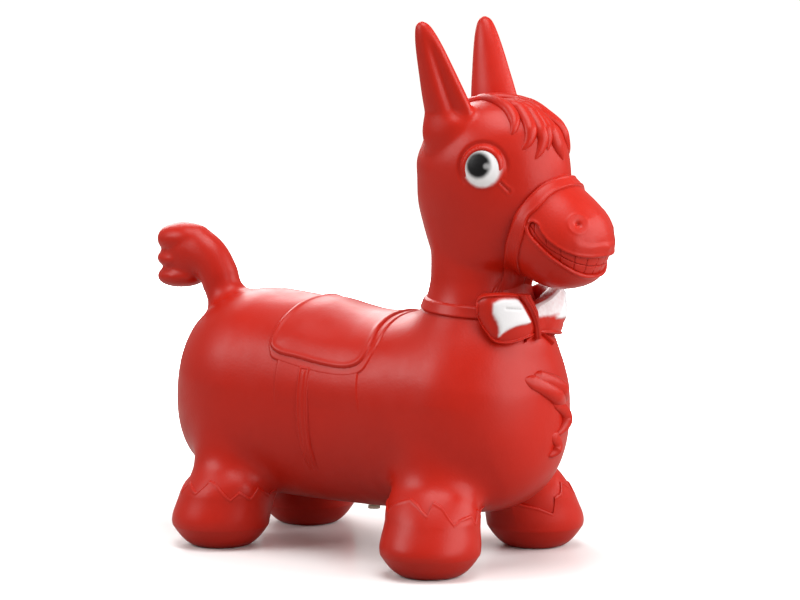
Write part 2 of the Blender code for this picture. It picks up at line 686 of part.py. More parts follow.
def hoof_mesh(kind, side, leg_tree):
    """A cup with a row of points round its crown and a flat patch under a domed sole."""
    hoof_x, hoof_y, pastern, offset, _, _ = LEGS[kind]
    middle = Vector((hoof_x, side * hoof_y, 0.0))
    crown = pastern + HOOF_CROWN_LIP
    shoulder = HOOF_CROWN_HEIGHT - HOOF_CROWN_POINT
    span = shoulder - HOOF_CORNER_HEIGHT
    rows = [
        (shoulder, crown + (HOOF_RADIUS - crown) * 0.30, offset * 0.8),
        (HOOF_CORNER_HEIGHT + span * 0.64, crown + (HOOF_RADIUS - crown) * 0.78, offset * 0.3),
        (HOOF_CORNER_HEIGHT + span * 0.30, HOOF_RADIUS, 0.0),
        (HOOF_CORNER_HEIGHT, HOOF_RADIUS, 0.0),
        (HOOF_CORNER_HEIGHT * 0.58, SOLE_RADIUS + (HOOF_RADIUS - SOLE_RADIUS) * 0.72, 0.0),
        (HOOF_CORNER_HEIGHT * 0.22, SOLE_RADIUS + (HOOF_RADIUS - SOLE_RADIUS) * 0.34, 0.0),
        (0.0, SOLE_RADIUS, 0.0),
    ]
    rings = []
    points = []
    for index, outward in enumerate(disc(Vector(), 1.0, HOOF_SEGMENTS)):
        height = HOOF_CROWN_HEIGHT if index % 2 else shoulder + HOOF_CROWN_LIP
        place, _ = seat(leg_tree, middle + FORWARD * offset + UP * height, outward)
        points.append(place + outward * HOOF_CROWN_LIP)
    rings.append(points)
    for height, radius, shift in rows:
        rings.append(disc(middle + FORWARD * shift + UP * height, radius, HOOF_SEGMENTS))
    top = middle + FORWARD * offset + UP * (shoulder + HOOF_CROWN_LIP)
    return loft(rings, top, middle)


def hoof_chamber_mesh(kind, side):
    """The air space in a hoof, which narrows to the bore of the leg."""
    hoof_x, hoof_y, pastern, offset, _, _ = LEGS[kind]
    middle = Vector((hoof_x, side * hoof_y, 0.0))
    bore = pastern - SKIN_WALL - SEAM_GAP
    lap = LEG_LAP_HEIGHT
    rows = [
        (lap + SKIN_WALL, bore - SKIN_WALL, offset),
        (lap - SKIN_WALL, bore, offset * 0.8),
        ((lap + HOOF_CORNER_HEIGHT) / 2.0, HOOF_RADIUS - SKIN_WALL * 1.6, 0.0),
        (HOOF_CORNER_HEIGHT + SKIN_WALL * 0.5, HOOF_RADIUS - SKIN_WALL * 1.6, 0.0),
        (HOOF_CORNER_HEIGHT * 0.5 + SKIN_WALL, SOLE_RADIUS + (HOOF_RADIUS - SOLE_RADIUS) * 0.4, 0.0),
        (SKIN_WALL * 1.3, SOLE_RADIUS - SKIN_WALL, 0.0),
    ]
    rings = []
    for height, radius, shift in rows:
        rings.append(disc(middle + FORWARD * shift + UP * height, radius, CHAMBER_SEGMENTS))
    top = middle + FORWARD * offset + UP * (lap + SKIN_WALL * 2.0)
    return loft(rings, top, middle + UP * SKIN_WALL)


# Straps and bow


def collar_mesh():
    """A strap round the foot of the neck, lower in front."""
    rings = []
    for share, proud in ((-1.0, 0.0), (-0.8, 1.0), (0.8, 1.0), (1.0, 0.0)):
        height = COLLAR_HEIGHT + COLLAR_WIDTH / 2.0 * share
        radius = neck_radius(height) + STRAP_THICKNESS * max(proud, COLLAR_EDGE_SHARE)
        points = disc(Vector((NECK_X, 0.0, height)), radius, BODY_SEGMENTS)
        for point in points:
            point.z -= COLLAR_TILT_SHARE * (point.x - NECK_X)
        rings.append(points)
    low = Vector((NECK_X, 0.0, COLLAR_HEIGHT - COLLAR_WIDTH / 2.0))
    return loft(rings, low, Vector((NECK_X, 0.0, COLLAR_HEIGHT + COLLAR_WIDTH / 2.0)))


def noseband_mesh():
    """A strap round the root of the muzzle."""
    first, second = MUZZLE_SHARES[0], MUZZLE_SHARES[1]
    rings = []
    for share, proud in NOSEBAND_SHARES:
        row = [a + (b - a) * share for a, b in zip(first, second)]
        top, low = muzzle_place(row[0], row[1]), muzzle_place(row[2], row[3])
        up = (top - low).normalized()
        lift = STRAP_THICKNESS * proud
        rings.append(ring((top + low) / 2.0, LEFT, up, MUZZLE_HALF_WIDTH * row[4] + lift,
                          (top - low).length / 2.0 + lift, BODY_SEGMENTS))
    ends = [Vector((points[0] + points[BODY_SEGMENTS // 2]) / 2.0) for points in (rings[0], rings[-1])]
    return loft(rings, ends[0], ends[1])


BOW_SHARES = [
    # turn, outer radius from knot to loop, half height
    (0.08, 0.0, 0.80),
    (0.30, 0.45, 0.95),
    (0.55, 0.90, 1.0),
    (0.76, 1.0, 0.84),
    (0.90, 0.98, 0.54),
    (0.98, 0.85, 0.24),
]


def bow_ring(side, turn, radius, half_height, thickness, segments, height=BOW_HEIGHT):
    angle = turn * side
    outward = Vector((math.cos(angle), math.sin(angle), 0.0))
    middle = Vector((NECK_X, 0.0, height)) + outward * (radius - thickness / 2.0)
    return ring(middle, outward, UP, thickness / 2.0, half_height, segments, squareness=2.6)


def bow_loop_mesh(side, rows, inset, segments):
    """A loop of the bow, from the knot round the side of the neck and in to its skin."""
    rings = []
    thickness = BOW_THICKNESS + BOW_RADIUS - neck_radius(BOW_HEIGHT + BOW_HALF_HEIGHT)
    for turn, out, tall in rows:
        radius = KNOT_RADIUS + (BOW_RADIUS - KNOT_RADIUS) * out
        rings.append(bow_ring(side, BOW_HALF_TURN * turn, radius - inset, BOW_HALF_HEIGHT * tall - inset,
                              thickness, segments))
    ends = [Vector((points[0] + points[segments // 2]) / 2.0) for points in (rings[0], rings[-1])]
    return loft(rings, ends[0], ends[1])


def bow_panel_mesh(side):
    """The raised white cloth in the middle of a loop."""
    rings = []
    thickness = BOW_THICKNESS
    rows = BOW_SHARES[1:4]
    for turn, out, tall in rows:
        radius = KNOT_RADIUS + (BOW_RADIUS - KNOT_RADIUS) * out + BOW_PANEL_PROUD
        half_height = BOW_HALF_HEIGHT * tall * BOW_PANEL_HEIGHT_SHARE
        rings.append(bow_ring(side, BOW_HALF_TURN * turn, radius, half_height, thickness, 16))
    ends = [Vector((points[0] + points[8]) / 2.0) for points in (rings[0], rings[-1])]
    return loft(rings, ends[0], ends[1])


def knot_mesh():
    middle = Vector((NECK_X + KNOT_RADIUS - KNOT_HALF_WIDTH * 0.2, 0.0, BOW_HEIGHT - KNOT_HALF_HEIGHT * 0.12))
    return ball(middle, KNOT_HALF_WIDTH, KNOT_HALF_WIDTH, KNOT_HALF_HEIGHT, 16, 8)


def bow_tail_mesh(side):
    """A short end of the ribbon under the knot."""
    rings = []
    for share, width in ((0.0, 0.5), (0.5, 0.8), (1.0, 1.0)):
        turn = math.radians(6.0 + 15.0 * share)
        height = BOW_HEIGHT - BOW_HALF_HEIGHT * 0.75 - BOW_TAIL_LENGTH * share
        radius = KNOT_RADIUS + STRAP_THICKNESS * 1.5
        outward = Vector((math.cos(turn), side * math.sin(turn), 0.0))
        across = Vector((-side * math.sin(turn), math.cos(turn), 0.0))
        middle = Vector((NECK_X, 0.0, height)) + outward * (radius - BOW_THICKNESS / 2.0)
        rings.append(ring(middle, across, outward, KNOT_HALF_WIDTH * width, BOW_THICKNESS / 2.0, 10))
    ends = [Vector((points[0] + points[5]) / 2.0) for points in (rings[0], rings[-1])]
    return loft(rings, ends[0] + UP * STRAP_THICKNESS, ends[1])


# Eyes, hair and valve


def cap_on(place, normal, radius, bulge, depth, segments, rows):
    """A domed button on a skin, whose flank runs down into it."""
    across = normal.cross(UP).normalized()
    up = across.cross(normal).normalized()
    rings = [ring(place - normal * depth, across, up, radius, radius, segments)]
    for step in range(rows):
        angle = math.pi / 2.0 * step / rows
        rings.append(ring(place + normal * bulge * math.sin(angle), across, up, radius * math.cos(angle),
                          radius * math.cos(angle), segments))
    return loft(rings, place - normal * depth, place + normal * bulge)


def coat_on(place, normal, radius, dome_radius, bulge, proud, segments, rows):
    """A thin round coat over the crown of a domed button."""
    across = normal.cross(UP).normalized()
    up = across.cross(normal).normalized()
    rings = [ring(place + normal * bulge / 2.0, across, up, radius, radius, segments)]
    for step in range(rows):
        here = radius * (1.0 - step / rows)
        height = (bulge + proud) * math.sqrt(1.0 - (here / dome_radius) ** 2)
        rings.append(ring(place + normal * height, across, up, here, here, segments))
    return loft(rings, place + normal * bulge / 2.0, place + normal * (bulge + proud))


def hoop_on(tree, place, normal, radius, thickness, segments):
    """A round hoop that follows a skin."""
    across = normal.cross(UP).normalized()
    up = across.cross(normal).normalized()
    mesh = bmesh.new()
    loops = []
    for step in range(segments):
        angle = 2.0 * math.pi * step / segments
        outward = across * math.cos(angle) + up * math.sin(angle)
        middle, _, _, _ = tree.find_nearest(place + outward * radius)
        loops.append([mesh.verts.new(point) for point in
                      ring(middle, outward, normal, thickness, thickness, 8)])
    for low, high in zip(loops, loops[1:] + loops[:1]):
        for here in range(8):
            there = (here + 1) % 8
            mesh.faces.new((low[here], low[there], high[there], high[here]))
    bmesh.ops.recalc_face_normals(mesh, faces=mesh.faces)
    return mesh


def lock_mesh(tree, origin, directions, half_width, thickness, widths):
    """A lock of hair that follows a skin through a few directions from inside it."""
    places = [seat(tree, origin, Vector(direction)) for direction in directions]
    rings = []
    for index, ((place, normal), width) in enumerate(zip(places, widths)):
        ahead = places[min(index + 1, len(places) - 1)][0] - places[max(index - 1, 0)][0]
        across = normal.cross(ahead).normalized()
        rings.append(ring(place, across, normal, half_width * width, thickness * (0.45 + 0.55 * width), 8))
    first = places[0][0] + (places[0][0] - places[1][0]) * 0.3
    last = places[-1][0] + (places[-1][0] - places[-2][0]) * 0.3
    return loft(rings, first, last)


outer = {
    "torso": torso_mesh(BODY_SEGMENTS, TORSO_STATIONS),
    "neck": neck_mesh(BODY_SEGMENTS, 0.0),
    "head": head_mesh(BODY_SEGMENTS, HEAD_SHARES),
    "muzzle": muzzle_mesh(BODY_SEGMENTS, MUZZLE_SHARES, muzzle_place(1.0, 0.385)),
}
torso_past = guide("torso_clearance", grown(outer["torso"], SEAM_GAP))
head_past = guide("head_clearance", grown(outer["head"], SEAM_GAP))
neck_past = guide("neck_clearance", grown(outer["neck"], SEAM_GAP))
muzzle_past = guide("muzzle_clearance", grown(outer["muzzle"], SEAM_GAP))
torso_tree = BVHTree.FromBMesh(outer["torso"])
head_tree = BVHTree.FromBMesh(outer["head"])
muzzle_tree = BVHTree.FromBMesh(outer["muzzle"])

# The air chamber that all the shells share
chamber = guide("air_chamber", grown(torso_mesh(CHAMBER_SEGMENTS + 4, CHAMBER_STATIONS), -SKIN_WALL))
muzzle_rows = MUZZLE_SHARES[:5]
last = muzzle_rows[-1]
muzzle_end = (muzzle_place(*last[0:2]) + muzzle_place(*last[2:4])) / 2.0
chamber_parts = {
    "neck": neck_mesh(CHAMBER_SEGMENTS, SKIN_WALL),
    "head": grown(head_mesh(CHAMBER_SEGMENTS + 4, HEAD_SHARES[::2]), -SKIN_WALL),
    "muzzle": grown(muzzle_mesh(CHAMBER_SEGMENTS, muzzle_rows, muzzle_end), -(MOUTH_DEPTH + SKIN_WALL)),
    "tail": grown(tail_mesh(CHAMBER_SEGMENTS), -SKIN_WALL),
}
for word, side in SIDES:
    chamber_parts["ear_" + word] = ear_mesh(side, 10, SKIN_WALL, EAR_HOLLOW_DEPTH / 2.0)
    for kind in LEGS:
        chamber_parts[f"leg_{kind}_{word}"] = leg_mesh(kind, side, CHAMBER_SEGMENTS, SKIN_WALL)
        chamber_parts[f"hoof_{kind}_{word}"] = hoof_chamber_mesh(kind, side)
join(chamber, *[guide(name + "_chamber", mesh) for name, mesh in chamber_parts.items()])

# Shells, the smaller ones cut where they meet the larger
torso = solid("torso", outer["torso"])
neck = solid("neck", outer["neck"])
head = solid("head", outer["head"])
muzzle = solid("muzzle", outer["muzzle"])
cut(neck, torso_past, head_past, chamber)
cut(muzzle, head_past, neck_past, chamber)
cut(head, chamber)
cut(torso, chamber)

tail = solid("tail", tail_mesh(LIMB_SEGMENTS))
for number, (reach, rise, depth) in enumerate(TAIL_LOBE_SHARES):
    middle = Vector((TAIL_ROOT_X - TAIL_REACH * reach, 0.0, TAIL_ROOT_HEIGHT + TAIL_RISE * rise))
    half_height = TAIL_HALF_DEPTH * depth
    lobe = ball(middle, half_height * TAIL_LOBE_LENGTH_SHARE, TAIL_HALF_WIDTH * TAIL_LOBE_WIDTH_SHARE,
                half_height, 14, 8)
    join(tail, guide(f"tail_lobe_{number}", lobe))
cut(tail, torso_past, chamber)

for word, side in SIDES:
    ear = solid("ear_" + word, ear_mesh(side, EAR_SEGMENTS, 0.0, 0.0))
    cut(ear, guide("ear_hollow_" + word, ear_hollow_mesh(side, 10)), head_past, chamber)
    for kind in LEGS:
        leg_skin = leg_mesh(kind, side, LIMB_SEGMENTS, 0.0)
        leg = solid(f"leg_{kind}_{word}", leg_skin)
        hoof = solid(f"hoof_{kind}_{word}", hoof_mesh(kind, side, BVHTree.FromBMesh(leg_skin)))
        leg_past = guide(f"leg_clearance_{kind}_{word}", grown(leg_skin, SEAM_GAP))
        cut(leg, torso_past, chamber)
        cut(hoof, torso_past, leg_past, chamber)

# Mouth, teeth and nostrils
mouth = guide("mouth_recess", side_view_slab(UPPER_LIP_SHARES, LOWER_LIP_SHARES))
cut(mouth, guide("mouth_floor", grown(outer["muzzle"], -MOUTH_DEPTH)))
cut(muzzle, mouth)
tooth_back = guide("tooth_back", grown(outer["muzzle"], SEAM_GAP - MOUTH_DEPTH))
tooth_rows = {
    "upper_teeth": (shifted(UPPER_LIP_SHARES, -TOOTH_CLEARANCE), shifted(TOOTH_LINE_SHARES, TOOTH_CLEARANCE)),
    "lower_teeth": (shifted(TOOTH_LINE_SHARES, -TOOTH_CLEARANCE), shifted(LOWER_LIP_SHARES, TOOTH_CLEARANCE)),
}
tooth_slots = guide("tooth_slots", tooth_slots_mesh())
cut(tooth_slots, guide("slot_floor", grown(outer["muzzle"], -TOOTH_DEPTH - TOOTH_SLOT_DEPTH)))
for name, (upper_line, lower_line) in tooth_rows.items():
    teeth = solid(name, grown(outer["muzzle"], -TOOTH_DEPTH))
    cut(teeth, tooth_slots)
    boolean(teeth, guide(name + "_slab", side_view_slab(upper_line, lower_line)), "INTERSECT")
    cut(teeth, tooth_back)

muzzle_middle = muzzle_place(0.5, 0.5)
for word, side in SIDES:
    x, y, z = NOSTRIL_DIRECTION_SHARES
    place, normal = seat(muzzle_tree, muzzle_middle, Vector((x, y * side, z)))
    dish_radius = (NOSTRIL_RADIUS ** 2 + NOSTRIL_DEPTH ** 2) / (2.0 * NOSTRIL_DEPTH)
    dish = ball(place + normal * (dish_radius - NOSTRIL_DEPTH), dish_radius, dish_radius, dish_radius, 16, 10)
    cut(muzzle, guide("nostril_" + word, dish))

# Straps
collar_skin = collar_mesh()
collar = solid("neck_strap", collar_skin)
cut(collar, neck_past)
collar_past = guide("neck_strap_clearance", grown(collar_skin, SEAM_GAP))
noseband = solid("noseband", noseband_mesh())
cut(noseband, head_past, muzzle_past, neck_past)

# Bow tie
knot_skin = knot_mesh()
knot = solid("bow_knot", knot_skin)
knot_past = guide("bow_knot_clearance", grown(knot_skin, SEAM_GAP))
cut(knot, neck_past, collar_past)
for word, side in SIDES:
    loop_skin = bow_loop_mesh(side, BOW_SHARES, 0.0, LIMB_SEGMENTS)
    loop_past = guide("bow_loop_clearance_" + word, grown(loop_skin, SEAM_GAP))
    loop = solid("bow_loop_" + word, loop_skin)
    cut(loop, neck_past, torso_past, collar_past, knot_past)
    panel = solid("bow_panel_" + word, bow_panel_mesh(side), WHITE)
    cut(panel, loop_past)
    ribbon = solid("bow_tail_" + word, bow_tail_mesh(side))
    cut(ribbon, loop_past, knot_past, neck_past, torso_past)

# Eyes and lids
for word, side in SIDES:
    inside = Vector((HEAD_X + EYE_FORWARD, 0.0, EYE_HEIGHT))
    place, normal = seat(head_tree, inside, LEFT * side)
    eye_skin = cap_on(place, normal, EYE_RADIUS, EYE_BULGE, EYE_BULGE, 20, 4)
    eye = solid("eye_" + word, eye_skin, WHITE)
    cut(eye, head_past)
    eye_past = guide("eye_clearance_" + word, grown(eye_skin, SEAM_GAP))
    black_coat = coat_on(place, normal, PUPIL_RADIUS, EYE_RADIUS, EYE_BULGE, PUPIL_BULGE, 16, 3)
    pupil = solid("pupil_" + word, black_coat, BLACK)
    cut(pupil, eye_past)
    lid = solid("eyelid_" + word, hoop_on(head_tree, place, normal, LID_RADIUS, LID_THICKNESS, 24))
    cut(lid, head_past, eye_past)

# Hair
head_middle = Vector((HEAD_X, 0.0, HEAD_BOTTOM + HEAD_HEIGHT * 0.55))
head_sizes = Vector((HEAD_HALF_LENGTH, HEAD_HALF_WIDTH, HEAD_HEIGHT / 2.0))


def toward(share, sizes):
    return Vector([part * size for part, size in zip(share, sizes)])


locks = []
for route in FORELOCK_SHARES:
    locks.append(lock_mesh(head_tree, head_middle, [toward(share, head_sizes) for share in route],
                           LOCK_HALF_WIDTH, LOCK_THICKNESS, LOCK_WIDTH_SHARES))
forelock = solid("forelock", locks[0])
join(forelock, *[guide(f"lock_{number}", mesh) for number, mesh in enumerate(locks) if number])
mane_skin = lock_mesh(head_tree, head_middle, [toward(share, head_sizes) for share in MANE_SHARES],
                      MANE_HALF_WIDTH, LOCK_THICKNESS, MANE_WIDTH_SHARES)
join(forelock, guide("mane_lock", mane_skin))
cut(forelock, head_past)

chest_middle = Vector((torso_ends()[1] - CHEST_ROUNDING, 0.0, TORSO_AXIS_HEIGHT))
chest_sizes = Vector((CHEST_ROUNDING, CHEST_HALF_WIDTH, WITHERS_TOP - TORSO_AXIS_HEIGHT))
for word, route in TUFT_SHARES.items():
    tuft = solid("chest_tuft_" + word, lock_mesh(torso_tree, chest_middle,
                                                 [toward(share, chest_sizes) for share in route],
                                                 TUFT_HALF_WIDTH, TUFT_THICKNESS, TUFT_WIDTH_SHARES))
    cut(tuft, torso_past)

# Saddle, flaps and girth
saddle_outline = []
for x, turn in rounded_outline(SADDLE_HALF_LENGTH, SADDLE_HALF_TURN, SADDLE_CORNER_SHARE, 36):
    scoop = SADDLE_SCOOP_SHARE * math.cos(turn) ** 2 if x > 0 else 0.0
    saddle_outline.append((x * (1.0 - scoop), turn))
pad_outline = [(x * SADDLE_PAD_SHARE, turn * SADDLE_PAD_SHARE) for x, turn in saddle_outline]
saddle_patch = torso_patch(saddle_outline, SADDLE_X, 0.0, SADDLE_EDGE_SHARE)
saddle_past = guide("saddle_clearance", grown(saddle_patch, SEAM_GAP))
saddle = solid("saddle", grown(outer["torso"], SADDLE_RIM_THICKNESS))
boolean(saddle, guide("saddle_patch", saddle_patch), "INTERSECT")
pad = guide("saddle_pad", grown(outer["torso"], SADDLE_THICKNESS))
boolean(pad, guide("pad_patch", torso_patch(pad_outline, SADDLE_X, 0.0, SADDLE_EDGE_SHARE)), "INTERSECT")
join(saddle, pad)
cut(saddle, torso_past)
high_turn = SADDLE_HALF_TURN * 0.9
for word, side in SIDES:
    outline = rounded_outline(FLAP_HALF_LENGTH, (FLAP_LOW_TURN - high_turn) / 2.0, SADDLE_CORNER_SHARE, 20)
    flap_patch = torso_patch(outline, SADDLE_X, side * (FLAP_LOW_TURN + high_turn) / 2.0, 0.0)
    flap = solid("saddle_flap_" + word, grown(outer["torso"], FLAP_THICKNESS))
    boolean(flap, guide("flap_patch_" + word, flap_patch), "INTERSECT")
    cut(flap, torso_past, saddle_past)
    flap_past = guide("flap_clearance_" + word, grown(outer["torso"], FLAP_THICKNESS + SEAM_GAP))
    boolean(flap_past, guide("flap_reach_" + word, grown(flap_patch, SEAM_GAP)), "INTERSECT")
    outline = rounded_outline(GIRTH_HALF_WIDTH, (GIRTH_LOW_TURN - high_turn) / 2.0, SADDLE_CORNER_SHARE, 20)
    girth_patch = torso_patch(outline, GIRTH_X, side * (GIRTH_LOW_TURN + high_turn) / 2.0, 0.0)
    girth = solid("girth_" + word, grown(outer["torso"], GIRTH_THICKNESS))
    boolean(girth, guide("girth_patch_" + word, girth_patch), "INTERSECT")
    cut(girth, torso_past, saddle_past, flap_past)

# Air valve
valve_place = Vector((VALVE_X, 0.0, BELLY_BOTTOM))
valve_hole = guide("valve_hole", loft([disc(valve_place - UP * OVERRUN, VALVE_SEAT_RADIUS + SEAM_GAP, 24),
                                       disc(valve_place + UP * OVERRUN, VALVE_SEAT_RADIUS + SEAM_GAP, 24)],
                                      valve_place - UP * OVERRUN, valve_place + UP * OVERRUN))
cut(torso, valve_hole)


def turned(profile, segments):
    """A ring-shaped solid, turned from a closed profile of radius and height."""
    mesh = bmesh.new()
    loops = [[mesh.verts.new(point) for point in disc(valve_place + UP * height, radius, segments)]
             for radius, height in profile]
    for low, high in zip(loops, loops[1:] + loops[:1]):
        for here in range(segments):
            there = (here + 1) % segments
            mesh.faces.new((low[here], low[there], high[there], high[here]))
    bmesh.ops.recalc_face_normals(mesh, faces=mesh.faces)
    return mesh


bore = PLUG_STEM_RADIUS + PLUG_CLEARANCE
flange = VALVE_SEAT_RADIUS + SKIN_WALL
solid("valve_seat", turned([(bore, -VALVE_SEAT_PROUD), (VALVE_SEAT_RADIUS, -VALVE_SEAT_PROUD),
                            (VALVE_SEAT_RADIUS, VALVE_FLANGE_HEIGHT), (flange, VALVE_FLANGE_HEIGHT),
                            (flange, VALVE_SEAT_LENGTH), (bore, VALVE_SEAT_LENGTH)], 24), CREAM)
disc_top = -VALVE_SEAT_PROUD - PLUG_STANDOFF
plug_rows = [(PLUG_DISC_RADIUS, disc_top - PLUG_DISC_THICKNESS), (PLUG_DISC_RADIUS, disc_top),
             (PLUG_STEM_RADIUS, disc_top), (PLUG_STEM_RADIUS, disc_top + PLUG_STEM_LENGTH * 0.8),
             (PLUG_STEM_RADIUS * 0.6, disc_top + PLUG_STEM_LENGTH)]
solid("valve_plug", loft([disc(valve_place + UP * height, radius, 20) for radius, height in plug_rows],
                         valve_place + UP * plug_rows[0][1], valve_place + UP * plug_rows[-1][1]), CREAM)
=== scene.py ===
# %% [markdown]
# A bouncy ride-on donkey is one hollow skin of soft red vinyl, moulded whole with its saddle, bow, hair
# and hooves, and blown up through a small valve under the belly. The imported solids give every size, so
# they are loaded first, and each new piece is made in their place, in metres.

# %% Load the frame
from math import acos, atan2, copysign, cos, degrees as in_degrees, exp, hypot, pi, radians, sin, sqrt
import bmesh
import bpy
import numpy
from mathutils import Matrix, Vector
from mathutils.bvhtree import BVHTree


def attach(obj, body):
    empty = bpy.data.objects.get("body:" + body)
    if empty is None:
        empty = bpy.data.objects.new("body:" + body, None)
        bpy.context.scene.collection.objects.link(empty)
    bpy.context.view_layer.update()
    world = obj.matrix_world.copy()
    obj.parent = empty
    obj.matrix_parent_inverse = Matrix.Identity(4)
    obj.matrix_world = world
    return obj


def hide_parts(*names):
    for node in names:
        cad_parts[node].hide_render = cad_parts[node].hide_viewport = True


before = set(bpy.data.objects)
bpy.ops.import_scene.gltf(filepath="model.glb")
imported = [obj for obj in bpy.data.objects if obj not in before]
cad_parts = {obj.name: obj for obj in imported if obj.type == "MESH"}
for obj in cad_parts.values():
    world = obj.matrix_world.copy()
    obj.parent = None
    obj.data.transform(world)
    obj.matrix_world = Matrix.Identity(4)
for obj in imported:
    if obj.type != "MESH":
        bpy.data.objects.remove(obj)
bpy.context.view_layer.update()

# %% [markdown]
# The camera stands where the photographer stood: low, on the animal's right, a little ahead of it, and
# far away with a long lens, so that the near legs look hardly bigger than the far ones.

# %% Camera
AZIMUTH = radians(33.1)
ELEVATION = radians(7.3)
DISTANCE = 4.0
AIM = Vector((0.0248, 0.0, 0.2660))
back = Vector((sin(AZIMUTH) * cos(ELEVATION), -cos(AZIMUTH) * cos(ELEVATION),
               sin(ELEVATION)))
bpy.ops.object.select_all(action="DESELECT")
bpy.ops.object.camera_add(location=AIM + back * DISTANCE)
camera = bpy.context.object
camera.name = "photo_camera"
camera.rotation_mode = "QUATERNION"
camera.rotation_quaternion = (-back).to_track_quat("-Z", "Y")
camera.data.sensor_width = 36.0
camera.data.lens = 171.0
camera.data.clip_start = 0.1
camera.data.clip_end = 50.0
bpy.context.scene.camera = camera
print("camera at", tuple(round(value, 3) for value in camera.location))

# %% [markdown]
# A studio sweep is white all round. The world shows plain white to the camera only, and lights the
# animal with a weaker, slightly warm white. The floor, too, is two things at once: pale and a little
# polished for the camera, so that it keeps the shadows, and a greyer paper for the light it throws
# back under the belly.

# %% World and floor
def new_tree(owner, end_kind):
    """An empty node tree with its output node; a world and a material both hold one."""
    owner.use_nodes = True
    tree = owner.node_tree
    tree.nodes.clear()
    return tree, tree.nodes.new(end_kind)


def new_node(tree, kind, **inputs):
    """A shader node. An input is a socket of another node, or a value to set; _ stands for a space."""
    node = tree.nodes.new("ShaderNode" + kind)
    for name, value in inputs.items():
        feed(tree, node, name.replace("_", " "), value)
    return node


def feed(tree, node, name, value):
    """Links a socket to a node's input, or sets the input to a value."""
    if isinstance(value, bpy.types.NodeSocket):
        tree.links.new(value, node.inputs[name])
    else:
        node.inputs[name].default_value = value


def shown_and_felt(tree, end, shown, felt):
    """One shader for rays from the camera and another for the light itself."""
    mixer = new_node(tree, "MixShader", Fac=new_node(tree, "LightPath").outputs["Is Camera Ray"])
    feed(tree, mixer, 1, felt.outputs[0])
    feed(tree, mixer, 2, shown.outputs[0])
    feed(tree, end, "Surface", mixer.outputs[0])


WHITE = (1.0, 1.0, 1.0, 1.0)
WORLD_TINT, WORLD_STRENGTH = (1.0, 0.95, 0.90, 1.0), 0.33
PAPER = (0.42, 0.40, 0.38, 1.0)

world = bpy.data.worlds.new("studio")
bpy.context.scene.world = world
tree, end = new_tree(world, "ShaderNodeOutputWorld")
shown_and_felt(tree, end, new_node(tree, "Background", Color=WHITE, Strength=1.0),
               new_node(tree, "Background", Color=WORLD_TINT, Strength=WORLD_STRENGTH))

bpy.ops.mesh.primitive_plane_add(size=24.0, location=(0.0, 0.0, 0.0))
floor = bpy.context.object
floor.name = "studio_floor"
sweep = bpy.data.materials.new("pale_sweep")
tree, end = new_tree(sweep, "ShaderNodeOutputMaterial")
away = new_node(tree, "VectorMath")
away.operation = "LENGTH"
feed(tree, away, 0, new_node(tree, "TexCoord").outputs["Object"])
paler = new_node(tree, "MapRange", Value=away.outputs["Value"], From_Min=0.3, From_Max=1.6,
                 To_Min=1.15, To_Max=4.0).outputs["Result"]
tint = new_node(tree, "CombineColor", Red=paler, Green=paler, Blue=paler)
sheen = new_node(tree, "MixShader", Fac=0.22)
feed(tree, sheen, 1, new_node(tree, "BsdfDiffuse", Color=tint.outputs["Color"]).outputs[0])
feed(tree, sheen, 2, new_node(tree, "BsdfGlossy", Color=WHITE, Roughness=0.16).outputs[0])
shown_and_felt(tree, end, sheen, new_node(tree, "BsdfDiffuse", Color=PAPER))
floor.data.materials.append(sweep)

# %% [markdown]
# The light is soft. A key lamp stands at the left of the picture, a large lamp ahead of the nose softens
# the chest and the face, one hangs overhead, and two behind the animal draw its rims.

# %% Lamps
def soft_lamp(name, place, aim, size, power):
    """A square lamp of a given size, turned to its aim."""
    bpy.ops.object.light_add(type="AREA", location=place)
    lamp = bpy.context.object
    lamp.name = name
    lamp.data.size = size
    lamp.data.energy = power
    lamp.rotation_mode = "QUATERNION"
    lamp.rotation_quaternion = (Vector(aim) - Vector(place)).to_track_quat("-Z", "Y")
    return lamp


ANIMAL = (0.0, 0.0, 0.25)
soft_lamp("key_lamp", (-1.6, -1.7, 1.6), ANIMAL, 1.3, 27.0)
soft_lamp("front_lamp", (2.1, -0.1, 1.0), ANIMAL, 1.8, 34.0)
soft_lamp("top_lamp", (0.2, -0.3, 2.5), ANIMAL, 1.5, 36.0)
soft_lamp("left_rim_lamp", (-1.5, 1.4, 1.3), ANIMAL, 1.3, 26.0)
soft_lamp("right_rim_lamp", (1.7, 1.2, 1.2), ANIMAL, 1.3, 18.0)
bpy.context.scene.view_settings.view_transform = "Standard"

# %% [markdown]
# The skin's vinyl is a satin red. It is never quite even: the colour clouds a little where the wall is
# thinner, and the mould leaves a fine grain that breaks up the gloss. All of it is made from noise on
# the object's own coordinates, so it needs no picture.

# %% Finishes
RED, RED_SHADE = (0.53, 0.014, 0.0045), (0.43, 0.011, 0.0035)
GLOSS, GRAIN = 0.36, 0.30
CLOUD_SCALE, SHEEN_SCALE, GRAIN_SCALE = 9.0, 38.0, 420.0
GRAIN_HEIGHT = 0.0004


